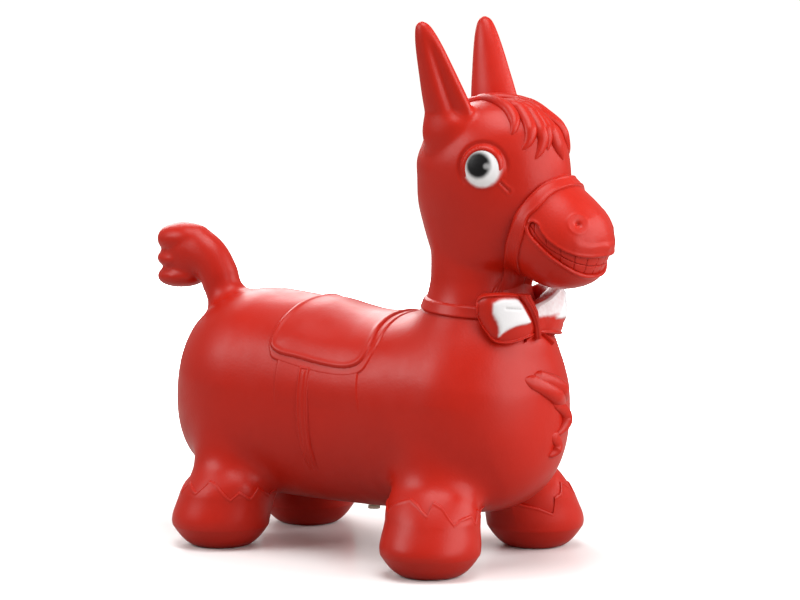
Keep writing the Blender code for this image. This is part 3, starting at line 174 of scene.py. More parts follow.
def clouded(name, colour=RED, shade=RED_SHADE, roughness=GLOSS, grain=GRAIN):
    """A satin plastic: two tones clouded together, a rougher and a smoother gloss, and a fine grain."""
    made = bpy.data.materials.new(name)
    tree, end = new_tree(made, "ShaderNodeOutputMaterial")
    place = new_node(tree, "TexCoord").outputs["Object"]
    cloud = new_node(tree, "TexNoise", Vector=place, Scale=CLOUD_SCALE, Detail=4.0, Roughness=0.6)
    tone = new_node(tree, "MapRange", Value=cloud.outputs["Fac"], From_Min=0.35, From_Max=0.68,
                    To_Min=0.0, To_Max=0.5)
    sheen = new_node(tree, "TexNoise", Vector=place, Scale=SHEEN_SCALE, Detail=3.0)
    gloss = new_node(tree, "MapRange", Value=sheen.outputs["Fac"], From_Min=0.3, From_Max=0.7,
                     To_Min=roughness - 0.05, To_Max=roughness + 0.07)
    fine = new_node(tree, "TexNoise", Vector=place, Scale=GRAIN_SCALE, Detail=2.0)
    bump = new_node(tree, "Bump", Height=fine.outputs["Fac"], Strength=grain, Distance=GRAIN_HEIGHT)
    surface = new_node(tree, "BsdfPrincipled", Specular_IOR_Level=0.30, Roughness=gloss.outputs["Result"],
                       Normal=bump.outputs["Normal"],
                       Base_Color=blended(tree, (*colour, 1.0), shade, tone.outputs["Result"]))
    feed(tree, end, "Surface", surface.outputs[0])
    return made


def blended(tree, under, over, share):
    """Two colours mixed, the first a colour or a socket, by a socket that gives the second's share."""
    blend = tree.nodes.new("ShaderNodeMix")
    blend.data_type = "RGBA"
    for name, value in (("A", under), ("B", (*over, 1.0)), ("Factor", share)):
        feed(tree, blend, name, value)
    return blend.outputs["Result"]


red_vinyl = clouded("red_vinyl")

# %% [markdown]
# Every round form of the animal starts as a plain ball whose rings are pulled to the sections of the
# real part, as a potter pulls a lump to shape. A section's sizes come from a short table, and a smooth
# curve through its rows keeps the skin from showing them.

# %% Helpers for moulded forms
def curve(rows, place):
    """The values of a table at a place, on a smooth curve through its rows."""
    last = len(rows) - 1
    place = min(max(place, rows[0][0]), rows[last][0])
    here = max(index for index in range(last) if rows[index][0] <= place or index == 0)
    low, high = rows[here], rows[here + 1]
    before, after = rows[max(here - 1, 0)], rows[min(here + 2, last)]
    span = high[0] - low[0]
    share = (place - low[0]) / span
    values = []
    for a, b, c, d in zip(before[1:], low[1:], high[1:], after[1:]):
        leave = (c - a) / (high[0] - before[0]) * span
        arrive = (d - b) / (after[0] - low[0]) * span
        cube, square = share ** 3, share ** 2
        values.append((2 * cube - 3 * square + 1) * b + (cube - 2 * square + share) * leave
                      + (3 * square - 2 * cube) * c + (cube - square) * arrive)
    return values


def on_line(points, share):
    """A point on a smooth line through given points, from 0 at its start to 1 at its end."""
    rows = [(float(index), *point) for index, point in enumerate(points)]
    return Vector(curve(rows, share * (len(points) - 1)))


def ease(share):
    """A smooth step from 0 to 1."""
    share = min(1.0, max(0.0, share))
    return share * share * (3.0 - 2.0 * share)


def hump(value, middle, width):
    """1 at the middle of a bell curve of a given width, 0 far from it."""
    return exp(-((value - middle) / width) ** 2)


def signed_power(value, power):
    """A power that keeps the sign; under 1 it makes a round section squarer."""
    return copysign(abs(value) ** power, value)


def spaced(along):
    """From 0 to 1 with the steps closer together at both ends, as a ball's rings are."""
    return 0.5 - 0.5 * cos(pi * along)


def rounded_end(along, reach):
    """0 at a ball's poles and 1 between them; a small reach gives blunt ends."""
    return min(1.0, sin(pi * along) / reach)


def thousandths(rows, *kept):
    """Tables are written in millimetres, or in thousandths of a form's size; some columns are kept as
    they are, such as angles."""
    return [tuple(value if column in kept else value / 1000.0 for column, value in enumerate(row))
            for row in rows]


def start_piece():
    """Nothing may stay selected, because an operator acts on all that is."""
    bpy.ops.object.select_all(action="DESELECT")


def choose(item):
    """Selects one object and makes it the active one."""
    start_piece()
    item.select_set(True)
    bpy.context.view_layer.objects.active = item


def pulled_ball(name, segments, rows, place):
    """A ball whose points are moved: place(along, turn) runs from pole to pole and round each ring."""
    start_piece()
    bpy.ops.mesh.primitive_uv_sphere_add(segments=segments, ring_count=rows, radius=1.0)
    item = bpy.context.object
    item.name = name
    for point in item.data.vertices:
        along = acos(max(-1.0, min(1.0, -point.co.z)))
        point.co = place(along / pi, atan2(point.co.y, point.co.x))
    bpy.ops.object.mode_set(mode="EDIT")
    bpy.ops.mesh.select_all(action="SELECT")
    bpy.ops.mesh.normals_make_consistent(inside=False)
    bpy.ops.object.mode_set(mode="OBJECT")
    return item


def use_modifier(item, kind, **settings):
    """Adds a modifier, sets it and applies it."""
    choose(item)
    made = item.modifiers.new(kind.lower(), kind)
    for key, value in settings.items():
        setattr(made, key, value)
    bpy.ops.object.modifier_apply(modifier=made.name)


def soften_creases(item, trees, reach, iterations):
    """Smooths a skin only where it runs between two of the forms it was cast from."""
    group = item.vertex_groups.new(name="creases")
    count = 0
    for point in item.data.vertices:
        near = sorted(tree.find_nearest(point.co)[3] for tree in trees)
        weight = ease((reach - near[1]) / (reach * 0.45))
        if weight > 0.0:
            group.add([point.index], weight, "REPLACE")
            count += 1
    use_modifier(item, "SMOOTH", factor=0.5, iterations=iterations, vertex_group="creases")
    item.vertex_groups.clear()
    print(item.name, "points softened", count)


def refine(item, middles, reach):
    """Divides the faces near some places, so that fine relief has points to move."""
    choose(item)
    bpy.ops.object.mode_set(mode="EDIT")
    bpy.ops.mesh.select_all(action="DESELECT")
    bpy.ops.object.mode_set(mode="OBJECT")
    for face in item.data.polygons:
        face.select = any((face.center - middle).length < reach for middle in middles)
    bpy.ops.object.mode_set(mode="EDIT")
    bpy.ops.mesh.subdivide(number_cuts=1, smoothness=0.0)
    bpy.ops.object.mode_set(mode="OBJECT")


def pressed(item, push):
    """Moves a skin's points along their normals: push(place) is the way outwards in metres."""
    moves = [(point.index, point.normal.copy(), push(point.co)) for point in item.data.vertices]
    count = 0
    for index, normal, amount in moves:
        if amount:
            item.data.vertices[index].co += normal * amount
            count += 1
    print(item.name, "points pressed", count)


def joined(name, items):
    """Several objects as one, under a new name."""
    start_piece()
    for item in items:
        item.select_set(True)
    bpy.context.view_layer.objects.active = items[0]
    bpy.ops.object.join()
    items[0].name = name
    return items[0]


def finished(item, nodes=(), material=red_vinyl):
    """Smooth shading, a finish, the body it rides on and the nodes it stands for."""
    choose(item)
    bpy.ops.object.shade_smooth()
    item.data.materials.clear()
    item.data.materials.append(material)
    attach(item, "animal")
    if nodes:
        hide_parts(*nodes)
    print(item.name, "triangles", sum(len(face.vertices) - 2 for face in item.data.polygons))
    return item


def skin_of(item):
    """A search tree of a piece's faces, to seat others on it."""
    return BVHTree.FromPolygons([point.co for point in item.data.vertices],
                                [face.vertices for face in item.data.polygons])

# %% [markdown]
# The barrel is the largest form: a long oval, higher over the rump and the withers and dipped between
# them for the seat, with broad round ends.

# %% Barrel
BARREL_MIDDLE = -0.014
BARREL_HALF = 0.2295
AXIS_HEIGHT = 0.160
RUMP_END, CHEST_END = 0.109, 0.096
RUMP_TILT = 0.065
BARREL_ROWS = thousandths([
    # x, top, bottom, half width
    (-134.5, 267.5, 49.5, 102), (-84.5, 263, 47, 98.5), (0, 249, 46.5, 94.5), (55, 258, 48, 99),
    (119.5, 270, 51.5, 104),
])


def barrel_section(x):
    """Half width, rise above the axis and drop below it."""
    top, bottom, width = curve(BARREL_ROWS, x)
    rump, chest = BARREL_MIDDLE - BARREL_HALF + RUMP_END, BARREL_MIDDLE + BARREL_HALF - CHEST_END
    past = min(max((rump - x) / RUMP_END, (x - chest) / CHEST_END, 0.0), 1.0)
    tall = (1.0 - past ** 2.4) ** (1.0 / 2.4)
    return width * sqrt(1.0 - past * past), (top - AXIS_HEIGHT) * tall, (AXIS_HEIGHT - bottom) * tall


def barrel_point(x, turn):
    """A point of the barrel, turned from the top of the back towards the animal's left side."""
    width, rise, drop = barrel_section(x)
    y, z = signed_power(sin(turn), 2.0 / 2.2), signed_power(cos(turn), 2.0 / 2.2)
    height = z * (rise if z > 0 else drop)
    tilt = RUMP_TILT * ease((BARREL_MIDDLE - BARREL_HALF + RUMP_END - x) / RUMP_END)
    return Vector((x + tilt * height, y * width, AXIS_HEIGHT + height))


barrel = pulled_ball("barrel", 192, 160, lambda along, turn: barrel_point(
    BARREL_MIDDLE - BARREL_HALF * cos(pi * along), turn))
print("barrel", [round(value, 3) for value in barrel.dimensions])

# %% [markdown]
# The neck is a plain pillar that flares on to the shoulders. It is made twice: the lower part belongs to
# the body's skin and the upper part to the head's, and the strap round the neck hides where they meet.

# %% Neck
NECK_X = 0.1247
NECK_SPLIT = 0.2715
NECK_ROWS = thousandths([
    # height, radius
    (205, 77), (235, 80), (248, 71.6), (261, 63.3), (274, 57.4), (287, 53.7), (300, 52), (350, 52),
])


def neck_form(name, low, high, inset):
    """A pillar between two heights, with rounded ends inside the forms that it joins."""
    def place(along, turn):
        height = low + (high - low) * spaced(along)
        end = rounded_end(along, 0.12)
        radius = (curve(NECK_ROWS, height)[0] - inset) * end
        return Vector((NECK_X + radius * cos(turn), radius * sin(turn), height))
    return pulled_ball(name, 160, 96, place)


lower_neck = neck_form("lower_neck", 0.205, NECK_SPLIT + 0.004, 0.0)
upper_neck = neck_form("upper_neck", NECK_SPLIT - 0.006, 0.350, 0.0003)

# %% [markdown]
# Each leg is a short thick pillar that leans in as it rises, until its outer side runs on into the side
# of the barrel. The hoof is a piece of its own, so the leg's skin only runs down inside its rim. The feet
# of the left side stand a few millimetres farther forward, as they do in the photo.

# %% Legs
LEG_KINDS = {
    # hoof x, hoof y, offset, lean
    "front": (0.1275, 0.1010, 0.002, -0.022),
    "rear": (-0.1515, 0.0800, 0.0, 0.027),
}
FARTHER_FORWARD = {-1: 0.0, 1: 0.0035}
LEG_ROWS = {
    # height, inward, along, half length, half width
    "front": thousandths([(38, 2.5, 0.02, 48.5, 47.5), (50, 6.5, 0.12, 48.8, 47), (60, 10.5, 0.25, 49, 46),
                          (70, 16, 0.37, 48.7, 45), (80, 23, 0.49, 48, 44), (88, 30.5, 0.6, 47.6, 43.5),
                          (96, 35.5, 0.7, 47.5, 43), (106, 38, 0.79, 48, 42.5),
                          (118, 39.5, 0.86, 49.2, 42.5), (132, 41, 0.9, 51, 43),
                          (150, 45, 0.9, 51, 43)], 2),
    "rear": thousandths([(38, 0, 0, 48.5, 47), (50, 1.5, 0.12, 49.2, 46.5), (60, 3.5, 0.22, 48.4, 45.5),
                         (70, 7.5, 0.33, 46.6, 44), (80, 14, 0.31, 45, 43), (88, 19, 0.18, 44, 42.5),
                         (96, 21.5, 0.11, 43.4, 42), (106, 22, 0.12, 43.5, 41.5),
                         (118, 22, 0.15, 44.5, 41.5), (132, 21.5, 0.2, 45.5, 41.5),
                         (150, 24, 0.2, 45, 41)], 2),
}
LEG_FOOT, LEG_TOP = 0.038, 0.150
SIDES = (("right", -1), ("left", 1))


def leg_form(kind, side):
    """A pillar whose middle and section follow the table of its kind."""
    hoof_x, hoof_y, offset, lean = LEG_KINDS[kind]
    hoof_x += FARTHER_FORWARD[side]

    def place(along, turn):
        height = LEG_FOOT + (LEG_TOP - LEG_FOOT) * spaced(along)
        inward, forward, half_length, half_width = curve(LEG_ROWS[kind], height)
        end = rounded_end(along, 0.10)
        return Vector((hoof_x + offset + lean * forward + half_length * end * cos(turn),
                       side * (hoof_y - inward) + half_width * end * sin(turn), height))
    return pulled_ball("leg", 128, 96, place)


legs = [leg_form(kind, side) for kind in LEG_KINDS for _, side in SIDES]

# %% [markdown]
# The tail stands up from the rump, bends back and ends in a tuft of three fat curls. The stem is one
# bent form, and the tuft and each curl are balls pulled long.

# %% Tail
TAIL_ROWS = thousandths([
    # place, reach, rise, half depth, half width
    (0, -8, -18, 19.5, 19.2), (0.14, 0, 0, 22.1, 21.1), (0.28, 7.8, 21.6, 22.5, 20.5),
    (0.42, 15, 39.8, 21.5, 20.3), (0.57, 26.2, 53.5, 24.2, 21.2), (0.71, 40, 59.8, 29, 23),
    (0.86, 51.5, 60, 32, 24.5), (1, 61, 58.8, 31, 24),
], 0)


def tail_place(along, turn):
    """A ring of the stem, square to the way that the stem runs there."""
    share = spaced(along)
    reach, rise, depth, width = curve(TAIL_ROWS, share)
    later = curve(TAIL_ROWS, min(share + 0.02, 1.0))
    sooner = curve(TAIL_ROWS, max(share - 0.02, 0.0))
    ahead = Vector((sooner[0] - later[0], 0.0, later[1] - sooner[1])).normalized()
    across = Vector((0.0, 1.0, 0.0)).cross(ahead)
    end = rounded_end(along, 0.35) if along < 0.5 else sin(pi * along) ** 0.5
    middle = Vector((-0.195 - 1.06 * reach, 0.0, 0.240 + rise))
    return middle + Vector((0.0, width * end * cos(turn), 0.0)) + across * depth * end * sin(turn)


def pulled_curl(name, middle, sizes, lean):
    """A ball pulled long, leaning down or up at its outer end."""
    def place(along, turn):
        flat = sin(pi * along) ** 0.7
        x = -cos(pi * along) * sizes[0]
        return Vector(middle) + Vector((x, flat * cos(turn) * sizes[1],
                                        flat * sin(turn) * sizes[2] + lean * x))
    return pulled_ball(name, 64, 40, place)


tail = [pulled_ball("tail_stem", 96, 80, tail_place),
        pulled_curl("tuft", (-0.2460, 0.0, 0.3000), (0.0270, 0.0225, 0.0315), 0.05),
        pulled_curl("curl_upper", (-0.2575, 0.0, 0.3145), (0.0290, 0.0225, 0.0178), 0.04),
        pulled_curl("curl_middle", (-0.2620, 0.0, 0.2925), (0.0245, 0.0222, 0.0118), 0.0),
        pulled_curl("curl_lower", (-0.2590, 0.0, 0.2738), (0.0275, 0.0218, 0.0132), 0.05)]

# %% [markdown]
# The forms are joined, and a voxel remesh casts them into one even skin, as the mould does. A few rounds
# of smoothing then soften the creases between them to the radius that vinyl keeps.

# %% Body skin
form_trees = [skin_of(form) for form in (barrel, lower_neck, *legs, tail[0])]
body_skin = joined("body_skin", [barrel, lower_neck, *legs, *tail])
use_modifier(body_skin, "REMESH", mode="VOXEL", voxel_size=0.0024)
soften_creases(body_skin, form_trees, 0.026, 220)
use_modifier(body_skin, "SMOOTH", factor=0.5, iterations=8)
finished(body_skin, [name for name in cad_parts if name.split("_")[0] in ("torso", "leg", "tail")])
body_tree = skin_of(body_skin)

# %% [markdown]
# The head is an egg with a full cheek. Its table is read by the angle from the chin to the crown, which
# rounds both poles.

# %% Head
HEAD_ROWS = thousandths([
    # height, back, front, width, in thousandths of the head's size
    (0, -140, -140, 0), (16, -600, 320, 570), (70, -750, 510, 750), (154, -840, 675, 816),
    (264, -920, 850, 883), (400, -994, 990, 958), (538, -1000, 990, 1000), (648, -1000, 970, 996),
    (758, -900, 920, 936), (841, -790, 850, 830), (912, -590, 660, 674), (967, -367, 470, 450),
    (1000, 50, 50, 0),
])
HEAD_ROWS = [(acos(1.0 - 2.0 * row[0]) / pi, *row[1:]) for row in HEAD_ROWS]


def head_place(along, turn):
    """A ring of the egg: its back and its front are given apart."""
    rear, front, width = curve(HEAD_ROWS, along)
    height = 0.302 + 0.182 * spaced(along)
    return Vector((0.141 + 0.0845 * ((front + rear) / 2.0 + (front - rear) / 2.0 * cos(turn)),
                   0.0668 * width * sin(turn), height))


head_form = pulled_ball("head_form", 192, 144, head_place)

# %% [markdown]
# The muzzle is a second form that grows out of the face: deep at its root, round at the nose, and with
# the chin tucked under.

# %% Muzzle
MUZZLE_ROWS = thousandths([
    # place, top reach, top height, low reach, low height, width, in thousandths of the muzzle's
    (0, 360, 1040, -100, 220, 900), (120, 480, 1000, 0, 154, 970), (260, 596, 906, 96, 103, 1000),
    (400, 716, 822, 236, 45, 1000), (540, 800, 757, 441, 4, 943), (680, 859, 704, 623, 22, 836),
    (790, 893, 668, 757, 63, 710), (880, 932, 607, 831, 118, 535), (950, 966, 505, 908, 236, 325),
    (1000, 985, 386, 985, 386, 0),
])


def muzzle_side(reach, height):
    return Vector((0.176 + 0.103 * reach, 0.0, 0.291 + 0.117 * height))


def muzzle_place(along, turn):
    top_reach, top_height, low_reach, low_height, width = curve(MUZZLE_ROWS, along)
    top, low = muzzle_side(top_reach, top_height), muzzle_side(low_reach, low_height)
    end = min(1.0, along / 0.06)
    return ((top + low) / 2.0 + (top - low) / 2.0 * sin(turn) * end
            + Vector((0.0, 0.0535 * width * cos(turn) * end, 0.0)))


muzzle_form = pulled_ball("muzzle_form", 192, 144, muzzle_place)
muzzle_tree = skin_of(muzzle_form)

# %% [markdown]
# The mouth is a band between the two lips, cut into the muzzle. Its outline is drawn on the side view
# and extruded across, and a smaller muzzle is taken out of the cutter, so that the cut ends at a shelf
# that the teeth stand on.

# %% Mouth
UPPER_LIP = thousandths([(362, 590), (385, 622), (425, 622), (471, 597), (515, 535), (577, 481),
                         (656, 430), (744, 381), (826, 345), (900, 327), (960, 327), (1200, 335)])
LOWER_LIP = thousandths([(362, 590), (366, 558), (406, 502), (512, 416), (604, 344), (672, 293),
                         (742, 238), (790, 194), (830, 158), (875, 150), (1200, 150)])
TOOTH_LINE = thousandths([(378, 590), (440, 524), (498, 467), (571, 413), (647, 370), (705, 335),
                          (774, 291), (835, 255), (900, 232), (1200, 222)])
MOUTH_MIDDLE = Vector((0.215, 0.0, 0.335))
LIP_DEPTH = 0.0085


def side_line(line, count=48):
    """Points of a side view line, smoothly between its given points."""
    return [muzzle_side(*on_line([(*place, 0.0) for place in line], step / count)[:2])
            for step in range(count + 1)]


def side_slab(name, outline, low=-0.07, high=0.07):
    """A slab right through the muzzle, with an outline drawn on the side view."""
    start_piece()
    bpy.ops.mesh.primitive_plane_add(size=1.0)
    item = bpy.context.object
    item.name = name
    slab = bmesh.new()
    face = slab.faces.new([slab.verts.new(point + Vector((0.0, low, 0.0))) for point in outline])
    pushed = bmesh.ops.extrude_face_region(slab, geom=[face])["geom"]
    bmesh.ops.translate(slab, vec=(0.0, high - low, 0.0),
                        verts=[part for part in pushed if isinstance(part, bmesh.types.BMVert)])
    bmesh.ops.triangulate(slab, faces=slab.faces)
    bmesh.ops.recalc_face_normals(slab, faces=slab.faces)
    slab.to_mesh(item.data)
    slab.free()
    return item


def inner_muzzle(depth):
    """The muzzle again, smaller all round by a depth."""
    def place(along, turn):
        outer = muzzle_place(along, turn)
        return outer + (MOUTH_MIDDLE - outer).normalized() * depth
    return pulled_ball("inner_muzzle", 96, 72, place)


def cut(item, cutter, operation="DIFFERENCE"):
    """Takes a solid out of another one, or keeps what both share."""
    use_modifier(item, "BOOLEAN", operation=operation, object=cutter, solver="EXACT")


mouth_slab = side_slab("mouth_slab", side_line(UPPER_LIP) + side_line(LOWER_LIP)[:0:-1])
kept = inner_muzzle(LIP_DEPTH)
cut(mouth_slab, kept)
cut(muzzle_form, mouth_slab)
for used in (mouth_slab, kept):
    bpy.data.objects.remove(used)
print("mouth cut", len(muzzle_form.data.vertices))

# %% [markdown]
# The ears are tall leaves with a hollow towards the front and a rolled edge round it.

# %% Ears
EAR_ROWS = thousandths([
    # height, half width, half thickness, in thousandths of the ear's
    (-450, 950, 950), (-220, 1090, 1120), (0, 1000, 1000), (210, 880, 970), (420, 740, 880),
    (630, 600, 760), (790, 470, 640), (910, 330, 480), (970, 200, 300), (1000, 0, 0),
])
EAR_BASE = Vector((0.1145, 0.0445, 0.470))
EAR_HEIGHT = 0.0945
EAR_BACK_LEAN, EAR_SIDE_LEAN = 0.024, 0.0165
EAR_HALF_WIDTH, EAR_HALF_THICKNESS = 0.0285, 0.0165
HOLLOW_DEPTH, ROLL_RISE = 0.0078, 0.0012


def ear_form(side):
    """A leaf that leans back and outwards, its hollow turned a little to the side."""
    def place(along, turn):
        height = EAR_ROWS[0][0] + (1.0 - EAR_ROWS[0][0]) * spaced(along)
        wide, thick = curve(EAR_ROWS, height)
        end = min(1.0, along / 0.05)
        lean = max(height, 0.0)
        outward = in_degrees(turn) * side
        shown = ease((height + 0.12) / 0.2) * ease((0.97 - height) / 0.35)
        hollow = HOLLOW_DEPTH * hump(outward, 54.0, 25.0) - ROLL_RISE * hump(outward, 14.0, 12.0)
        pull = end * (1.0 - hollow * shown / EAR_HALF_THICKNESS * min(1.0, thick))
        across = EAR_HALF_THICKNESS * thick * sin(turn) * pull
        return Vector((EAR_BASE.x - EAR_BACK_LEAN * lean + EAR_HALF_WIDTH * wide * cos(turn) * pull,
                       side * (EAR_BASE.y + EAR_SIDE_LEAN * lean) + across, EAR_BASE.z + EAR_HEIGHT * height))
    return pulled_ball("ear", 128, 96, place)


ears = [ear_form(side) for _, side in SIDES]

# %% [markdown]
# The head, the upper neck and the ears are cast into one skin as well. Round each eye it is divided once
# more, so that the socket's groove and the crease below the eye's front corner can be pressed into it.

# %% Head skin
form_trees = [skin_of(form) for form in (head_form, upper_neck, *ears)]
head_skin = joined("head_skin", [head_form, upper_neck, *ears])
use_modifier(head_skin, "REMESH", mode="VOXEL", voxel_size=0.00146)
soften_creases(head_skin, form_trees, 0.008, 60)
use_modifier(head_skin, "SMOOTH", factor=0.5, iterations=8)

EYE_MIDDLES = {side: Vector((0.1654, side * 0.0634, 0.4175)) for _, side in SIDES}
EYE_WAYS = {side: (Vector((0.973, -side * 0.229, 0.0)).normalized(), Vector((0.0, 0.0, 1.0)),
                   Vector((0.229, side * 0.973, 0.0)).normalized()) for _, side in SIDES}
TEAR_CREASE = thousandths([(178.5, -59.4, 409.5), (183, -57.7, 403.5), (188, -55, 398),
                           (191.5, -52.8, 394)])


def round_eye(place):
    """Reach from the middle of the nearer eye and the direction there, 0 ahead and 90 above."""
    side = copysign(1.0, place.y)
    ahead, rise, outward = EYE_WAYS[side]
    away = place - EYE_MIDDLES[side]
    forth, up = away.dot(ahead), away.dot(rise)
    return hypot(forth, up), in_degrees(atan2(up, forth))


def socket_push(place):
    """A groove above and behind the eyelid, and the crease below the eye's front corner."""
    if abs(place.y) < 0.035 or (place - EYE_MIDDLES[copysign(1.0, place.y)]).length > 0.042:
        return 0.0
    reach, degrees = round_eye(place)
    degrees = degrees % 360.0
    arc = ease((degrees + 25.0) / 40.0) if degrees < 180.0 else 1.0 - ease((degrees - 195.0) / 40.0)
    if degrees > 330.0:
        arc = ease((degrees - 335.0) / 40.0)
    groove = hump(reach, 0.0252, 0.0022) * arc
    mirrored = Vector((place.x, -abs(place.y), place.z))
    tear = min((mirrored - on_line(TEAR_CREASE, step / 10.0)).length for step in range(11))
    crease = 0.0005 * hump(tear, 0.0028, 0.0014) - 0.0012 * hump(tear, 0.0, 0.0011)
    return -0.0017 * groove + ease((reach - 0.0225) / 0.0020) * crease


refine(head_skin, list(EYE_MIDDLES.values()), 0.034)
pressed(head_skin, socket_push)
finished(head_skin, ["head", "neck", "ear_left", "ear_right"])
head_tree = skin_of(head_skin)

# %% [markdown]
# The muzzle is cast more finely than the head, because its lips and nostrils are the sharpest relief of
# the whole animal. The noseband hides where it meets the head. Both lips are rolled edges: the lower one
# a thin bead all along the mouth, the upper one a thick lip under the nose. A nostril is a shallow dish
# with a pit in it and a bead in the pit.

# %% Muzzle skin
use_modifier(muzzle_form, "REMESH", mode="VOXEL", voxel_size=0.0009)
use_modifier(muzzle_form, "SMOOTH", factor=0.5, iterations=3)
muzzle_skin = muzzle_form
muzzle_skin.name = "muzzle_skin"
UPPER_EDGE = [(point.x, point.z) for point in side_line(UPPER_LIP)[4:]]
LOWER_EDGE = [(point.x, point.z) for point in side_line(LOWER_LIP)[1:]]
NOSTRIL, NOSTRIL_BEAD = Vector((0.2601, 0.0312, 0.3636)), Vector((0.2606, 0.0318, 0.3620))


def line_reach(edge, place):
    """Distance from a line of the side view, and how far above it the place is."""
    x, z = min(edge, key=lambda mark: hypot(mark[0] - place.x, mark[1] - place.z))
    return hypot(x - place.x, z - place.z), place.z - z


def lip_push(place):
    """The rolled lips and the nostrils; nothing inside the mouth moves."""
    if place.x < 0.20 or muzzle_tree.find_nearest(place)[3] > 0.0011:
        return 0.0
    push = 0.0
    reach, above = line_reach(LOWER_EDGE, place)
    if above < 0.0004:
        push += 0.0015 * hump(reach, 0.0016, 0.0015)
    reach, above = line_reach(UPPER_EDGE, place)
    if above > -0.0004:
        push += 0.0008 * hump(reach, 0.0012, 0.0014)
        push += 0.0011 * ease((place.x - 0.256) / 0.012) * ease((0.0150 - above) / 0.0060)
    mirrored = Vector((place.x, abs(place.y), place.z))
    reach = (mirrored - NOSTRIL).length
    if reach < 0.016:
        push -= 0.0013 * (1.0 - ease(reach / 0.0098)) - 0.0004 * hump(reach, 0.0108, 0.0016)
        push -= 0.0028 * hump(reach, 0.0, 0.0027)
        push += 0.0014 * hump((mirrored - NOSTRIL_BEAD).length, 0.0, 0.0012)
    return push


pressed(muzzle_skin, lip_push)
finished(muzzle_skin, ["muzzle"])
muzzle_skin_tree = skin_of(muzzle_skin)

# %% [markdown]
# Each hoof is a shell over the foot of the leg: a domed sole, a sharp edge, a soft bulge low down and a
# zig-zag rim that stands a little proud of the leg's skin, with a fine ridge along it. Every corner of
# the rim is a turn round the hoof and a height.

# %% Hooves
HOOF_ROWS = thousandths([
    # height, radius
    (22, 51.5), (25.5, 52.1), (33, 52.6), (42, 52), (52, 50.6), (64, 49),
])
CROWNS = {
    # the turn in degrees and the height in millimetres of each corner
    ("front", "right"): [
        (-180, 69), (-165, 60), (-159, 74.5), (-131, 65.5), (-124, 73.5), (-107, 78.4), (-92, 81.9),
        (-79, 76.5), (-65, 66.8), (-59.5, 80.3), (-48, 75.5), (-31, 58.4), (-23, 63.3), (-6, 65.5), (4, 56),
        (11, 69), (38, 57.5), (45, 69), (72, 56), (79, 70), (104, 58.5), (111, 72), (138, 60), (146, 74.5)],
    ("front", "left"): [
        (-180, 64), (-150, 56), (-143, 69), (-112, 56), (-104, 66), (-70, 52.5), (-50, 48.1), (-34, 41.3),
        (-24, 59), (-12, 62.5), (1, 74.1), (22, 59.4), (30, 70), (58, 64), (65, 79), (92, 69), (99, 81),
        (128, 65), (135, 75), (162, 60), (169, 68)],
    ("rear", "right"): [
        (-180, 64), (-171, 56), (-163, 70), (-133, 58.5), (-126, 69), (-99, 60.8), (-88, 74.5), (-77, 71.6),
        (-48, 55.6), (-40, 64), (-22, 56), (-14, 67), (14, 56), (22, 68), (52, 56), (60, 69), (92, 57),
        (100, 70), (132, 58), (140, 70)],
    ("rear", "left"): [
        (-180, 56), (-172, 68), (-140, 56), (-132, 67), (-104, 56), (-97, 64), (-68, 54), (-60, 65),
        (-32, 55), (-24, 68), (8, 57), (16, 70), (44, 59), (51, 72), (80, 61), (88, 74.5), (118, 60),
        (126, 71), (152, 58), (160, 69)],
}
KNEE, SOLE_EDGE, SOLE_FLAT, SOLE_RADIUS = 0.056, 0.022, 0.027, 0.0515
BEND = 0.026
LIP, RIDGE = 0.0011, 0.0006
SOLE_PART, RIM_PART = 0.30, 0.90
FLAT_PART = 0.12
RIM_TUCK, RIM_DROP = 0.004, 0.003


def rim_height(corners, turn):
    """The height of the zig-zag rim, straight from corner to corner."""
    turn = in_degrees(turn)
    ring = corners + [(corners[0][0] + 360.0, corners[0][1])]
    turn = (turn - corners[0][0]) % 360.0 + corners[0][0]
    for (start, low), (stop, high) in zip(ring, ring[1:]):
        if start <= turn <= stop:
            return (low + (high - low) * (turn - start) / (stop - start)) / 1000.0


